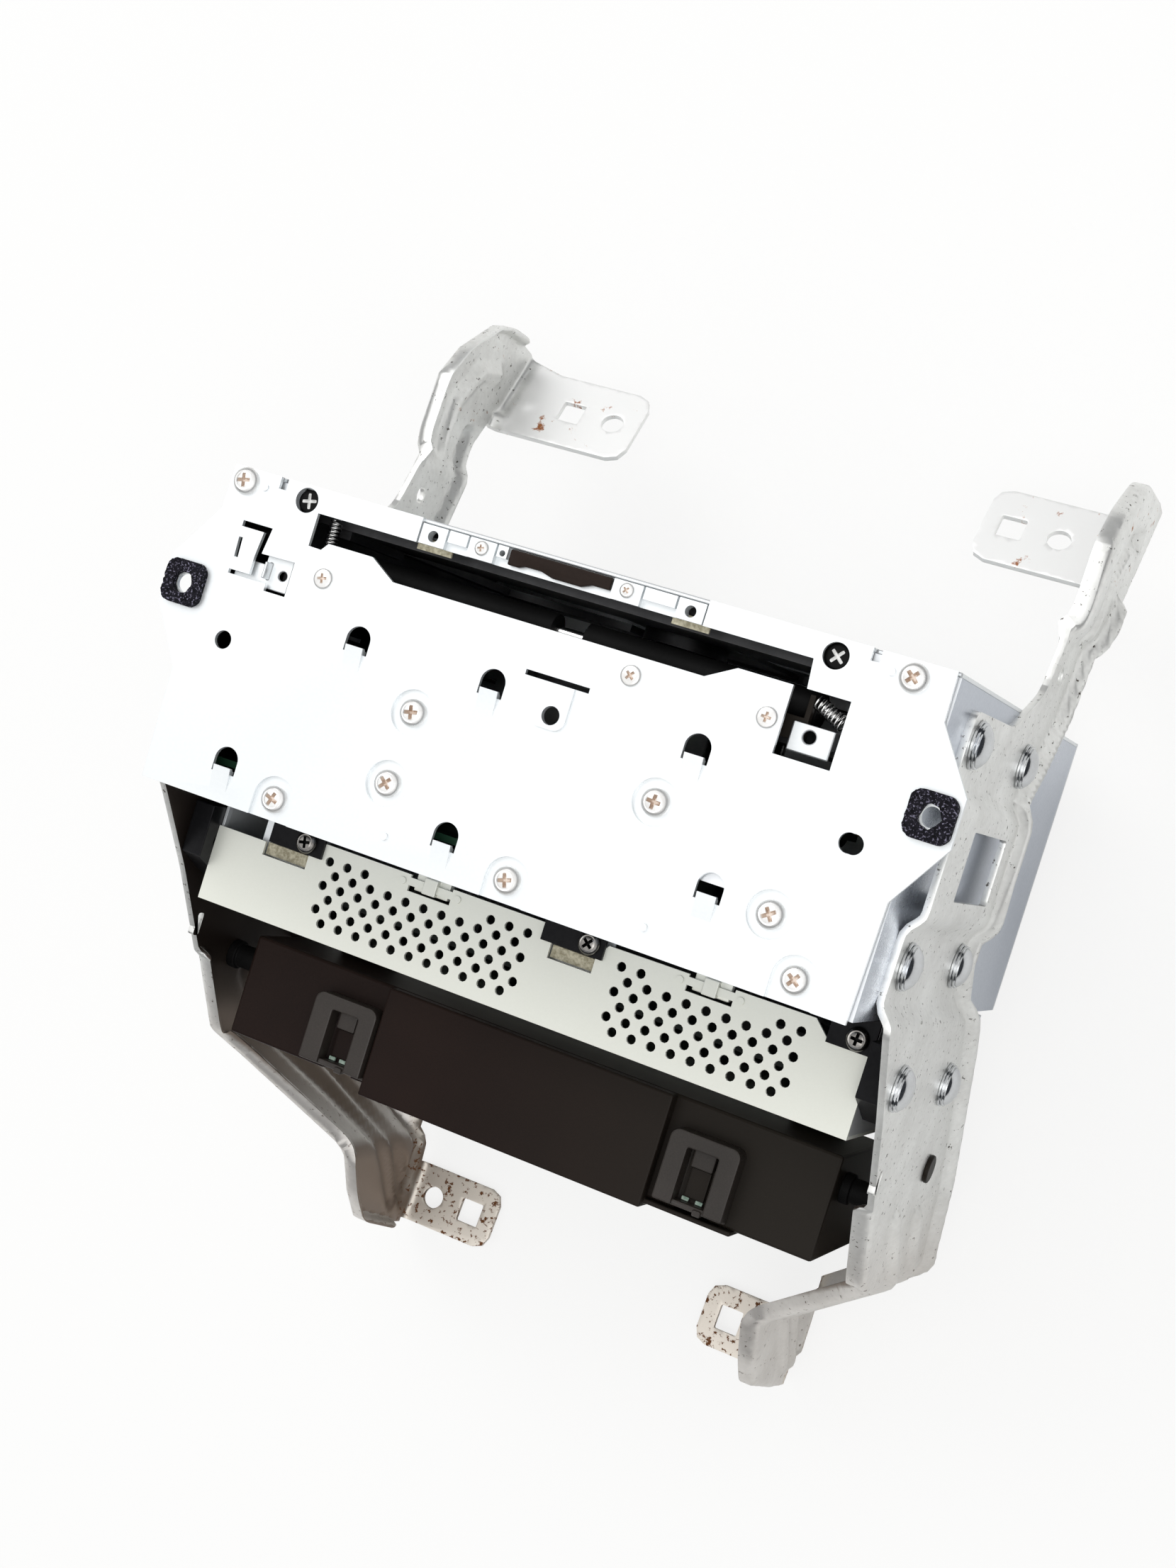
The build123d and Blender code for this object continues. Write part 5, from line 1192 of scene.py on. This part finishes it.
# %% Foam pads
PAD_THICK = 1.8
PAD_PLACE = (92.0, 34.4)
PAD_HOLE = 2.5
PAD_OUTLINE = [
    (-3.6, -5.2), (3.6, -5.2), (5.2, -3.6), (5.2, 3.6), (3.6, 5.2), (-3.6, 5.2), (-5.2, 3.6), (-5.2, -3.6),
]
PAD_EDGE = 4.6
TEAR = 0.45
TEAR_WALK = 2.2
COARSE = 1.3
FINE = 3.1
SAG = 0.8
DRAW_IN = 0.5
GRID = 0.5


def ragged(x, y, radius, count=30):
    ring = []
    for i in range(count):
        angle = math.tau * i / count
        c = math.cos(angle)
        d = math.sin(angle)
        away = radius + TEAR * uneven(Vector((x + TEAR_WALK * c, y + TEAR_WALK * d, 0.5)))
        ring.append((x + away * c, y + away * d))
    return ring


pads = []
for side in (-1, 1):
    x, y = side * PAD_PLACE[0], PAD_PLACE[1]
    edge = rounded([(x + a, y + b) for a, b in PAD_OUTLINE], 0.8, 2)
    pad = flat_piece("foam_pad", [edge, ragged(x, y, PAD_HOLE)], PAD_THICK)
    slice_up(pad, 0, x - 5.0, x + 5.0, GRID)
    slice_up(pad, 1, y - 5.0, y + 5.0, GRID)
    slice_up(pad, 2, 0.5, 1.5, 0.45)
    for point in pad.data.vertices:
        here = point.co.copy()
        rise = here.z / PAD_THICK
        dent = max(0.22 + 0.22 * uneven(here * COARSE) + 0.2 * uneven(here * FINE), 0.0)
        inward = Vector((x - here.x, y - here.y, 0.0))
        point.co.z = here.z - rise * dent * SAG
        if max(abs(inward.x), abs(inward.y)) > PAD_EDGE:
            point.co += inward.normalized() * DRAW_IN * rise * dent
        point.co = (point.co + Vector((0.0, 0.0, FRONT))) * MM
    pads.append(pad)
foam = join(pads, "foam_pads_cut")
face_outwards(foam)
finish(foam, "foam_pads", 60.0, FINISHES["foam"])

# %% [markdown]
# Something dark lies behind the openings of the two snap loops. Each loop gets the floor of its window, the
# long latch in the middle, a bar with a small boss that closes it at the bottom and the ends of two chips
# that peep out there.

# %% Latches and bars in the snap loops


DISH_DEPTH = 0.15


def moulded(name, low, high, edge=0.3, dish=0.5):
    bpy.ops.mesh.primitive_cube_add(size=1.0, location=[(a + b) / 2 * MM for a, b in zip(low, high)])
    piece = bpy.context.object
    piece.name = name
    piece.scale = [(b - a) * MM for a, b in zip(low, high)]
    settle(piece)
    choose(piece, lambda face: face.normal.z > 0.9)
    bpy.ops.mesh.inset(thickness=dish * MM, depth=-DISH_DEPTH * MM)
    object_mode()
    modify(piece, "BEVEL", width=edge * MM, segments=2, limit_method="ANGLE", angle_limit=math.radians(30.0))
    return piece


def extra(piece, look):
    settle(piece)
    bpy.ops.object.shade_smooth_by_angle(angle=math.radians(30.0))
    piece.data.materials.clear()
    piece.data.materials.append(look)
    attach(piece, "unit")
    print(piece.name, "has", len(piece.data.polygons), "faces")


LOOP_WINDOWS = [(-53.0, -45.4), (46.6, 54.8)]
latches = []
bars = []
chips = []
for w0, w1 in LOOP_WINDOWS:
    latches.append(moulded("floor", (w0 + 0.05, -71.6, 106.1), (w1 - 0.05, -57.7, 106.6), 0.1, 0.3))
    latches.append(moulded("latch", (w0 + 1.5, -69.4, 106.5), (w1 - 1.5, -62.2, 107.4), 0.25))
    bars.append(moulded("bar", (w0 - 0.4, -71.9, 106.5), (w1 + 0.4, -70.5, 110.4), 0.5, 0.3))
    bars.append(moulded("boss", (w1 - 2.6, -72.5, 107.0), (w1 - 0.4, -71.0, 110.8), 0.6, 0.3))
    for a, b in ((w0 + 1.2, w0 + 3.0), (w1 - 3.4, w1 - 1.6)):
        chips.append(moulded("chip", (a, -70.4, 106.5), (b, -69.5, 107.3), 0.12, 0.2))
extra(join(latches, "loop_latches"), FINISHES["black_plastic"])
extra(join(bars, "loop_bars"), FINISHES["loop"])
extra(join(chips, "loop_chips"), FINISHES["pale_chip"])

# %% [markdown]
# The slots in the side walls look black from outside. What lies behind them can't be seen, so black sheets
# are put inside the walls as painted shade, a guess at how dark it is behind them.

# %% Painted shade sheets behind the wall slots
SHADE_SHEET_INNER = 86.6
SHADE_SHEET_OUTER = 87.4
SHADE_SHEET_BOTTOM = (-9.0, 110.0)
SHADE_SHEET_TOP = (22.0, 166.0)
shade_sheets = []
for side in (-1, 1):
    low, high = sorted((side * SHADE_SHEET_INNER, side * SHADE_SHEET_OUTER))
    shade_sheets.append(moulded("shade_sheet", (low, *SHADE_SHEET_BOTTOM), (high, *SHADE_SHEET_TOP), 0.2, 0.6))
extra(join(shade_sheets, "slot_shade_sheets"), FINISHES["deep"])
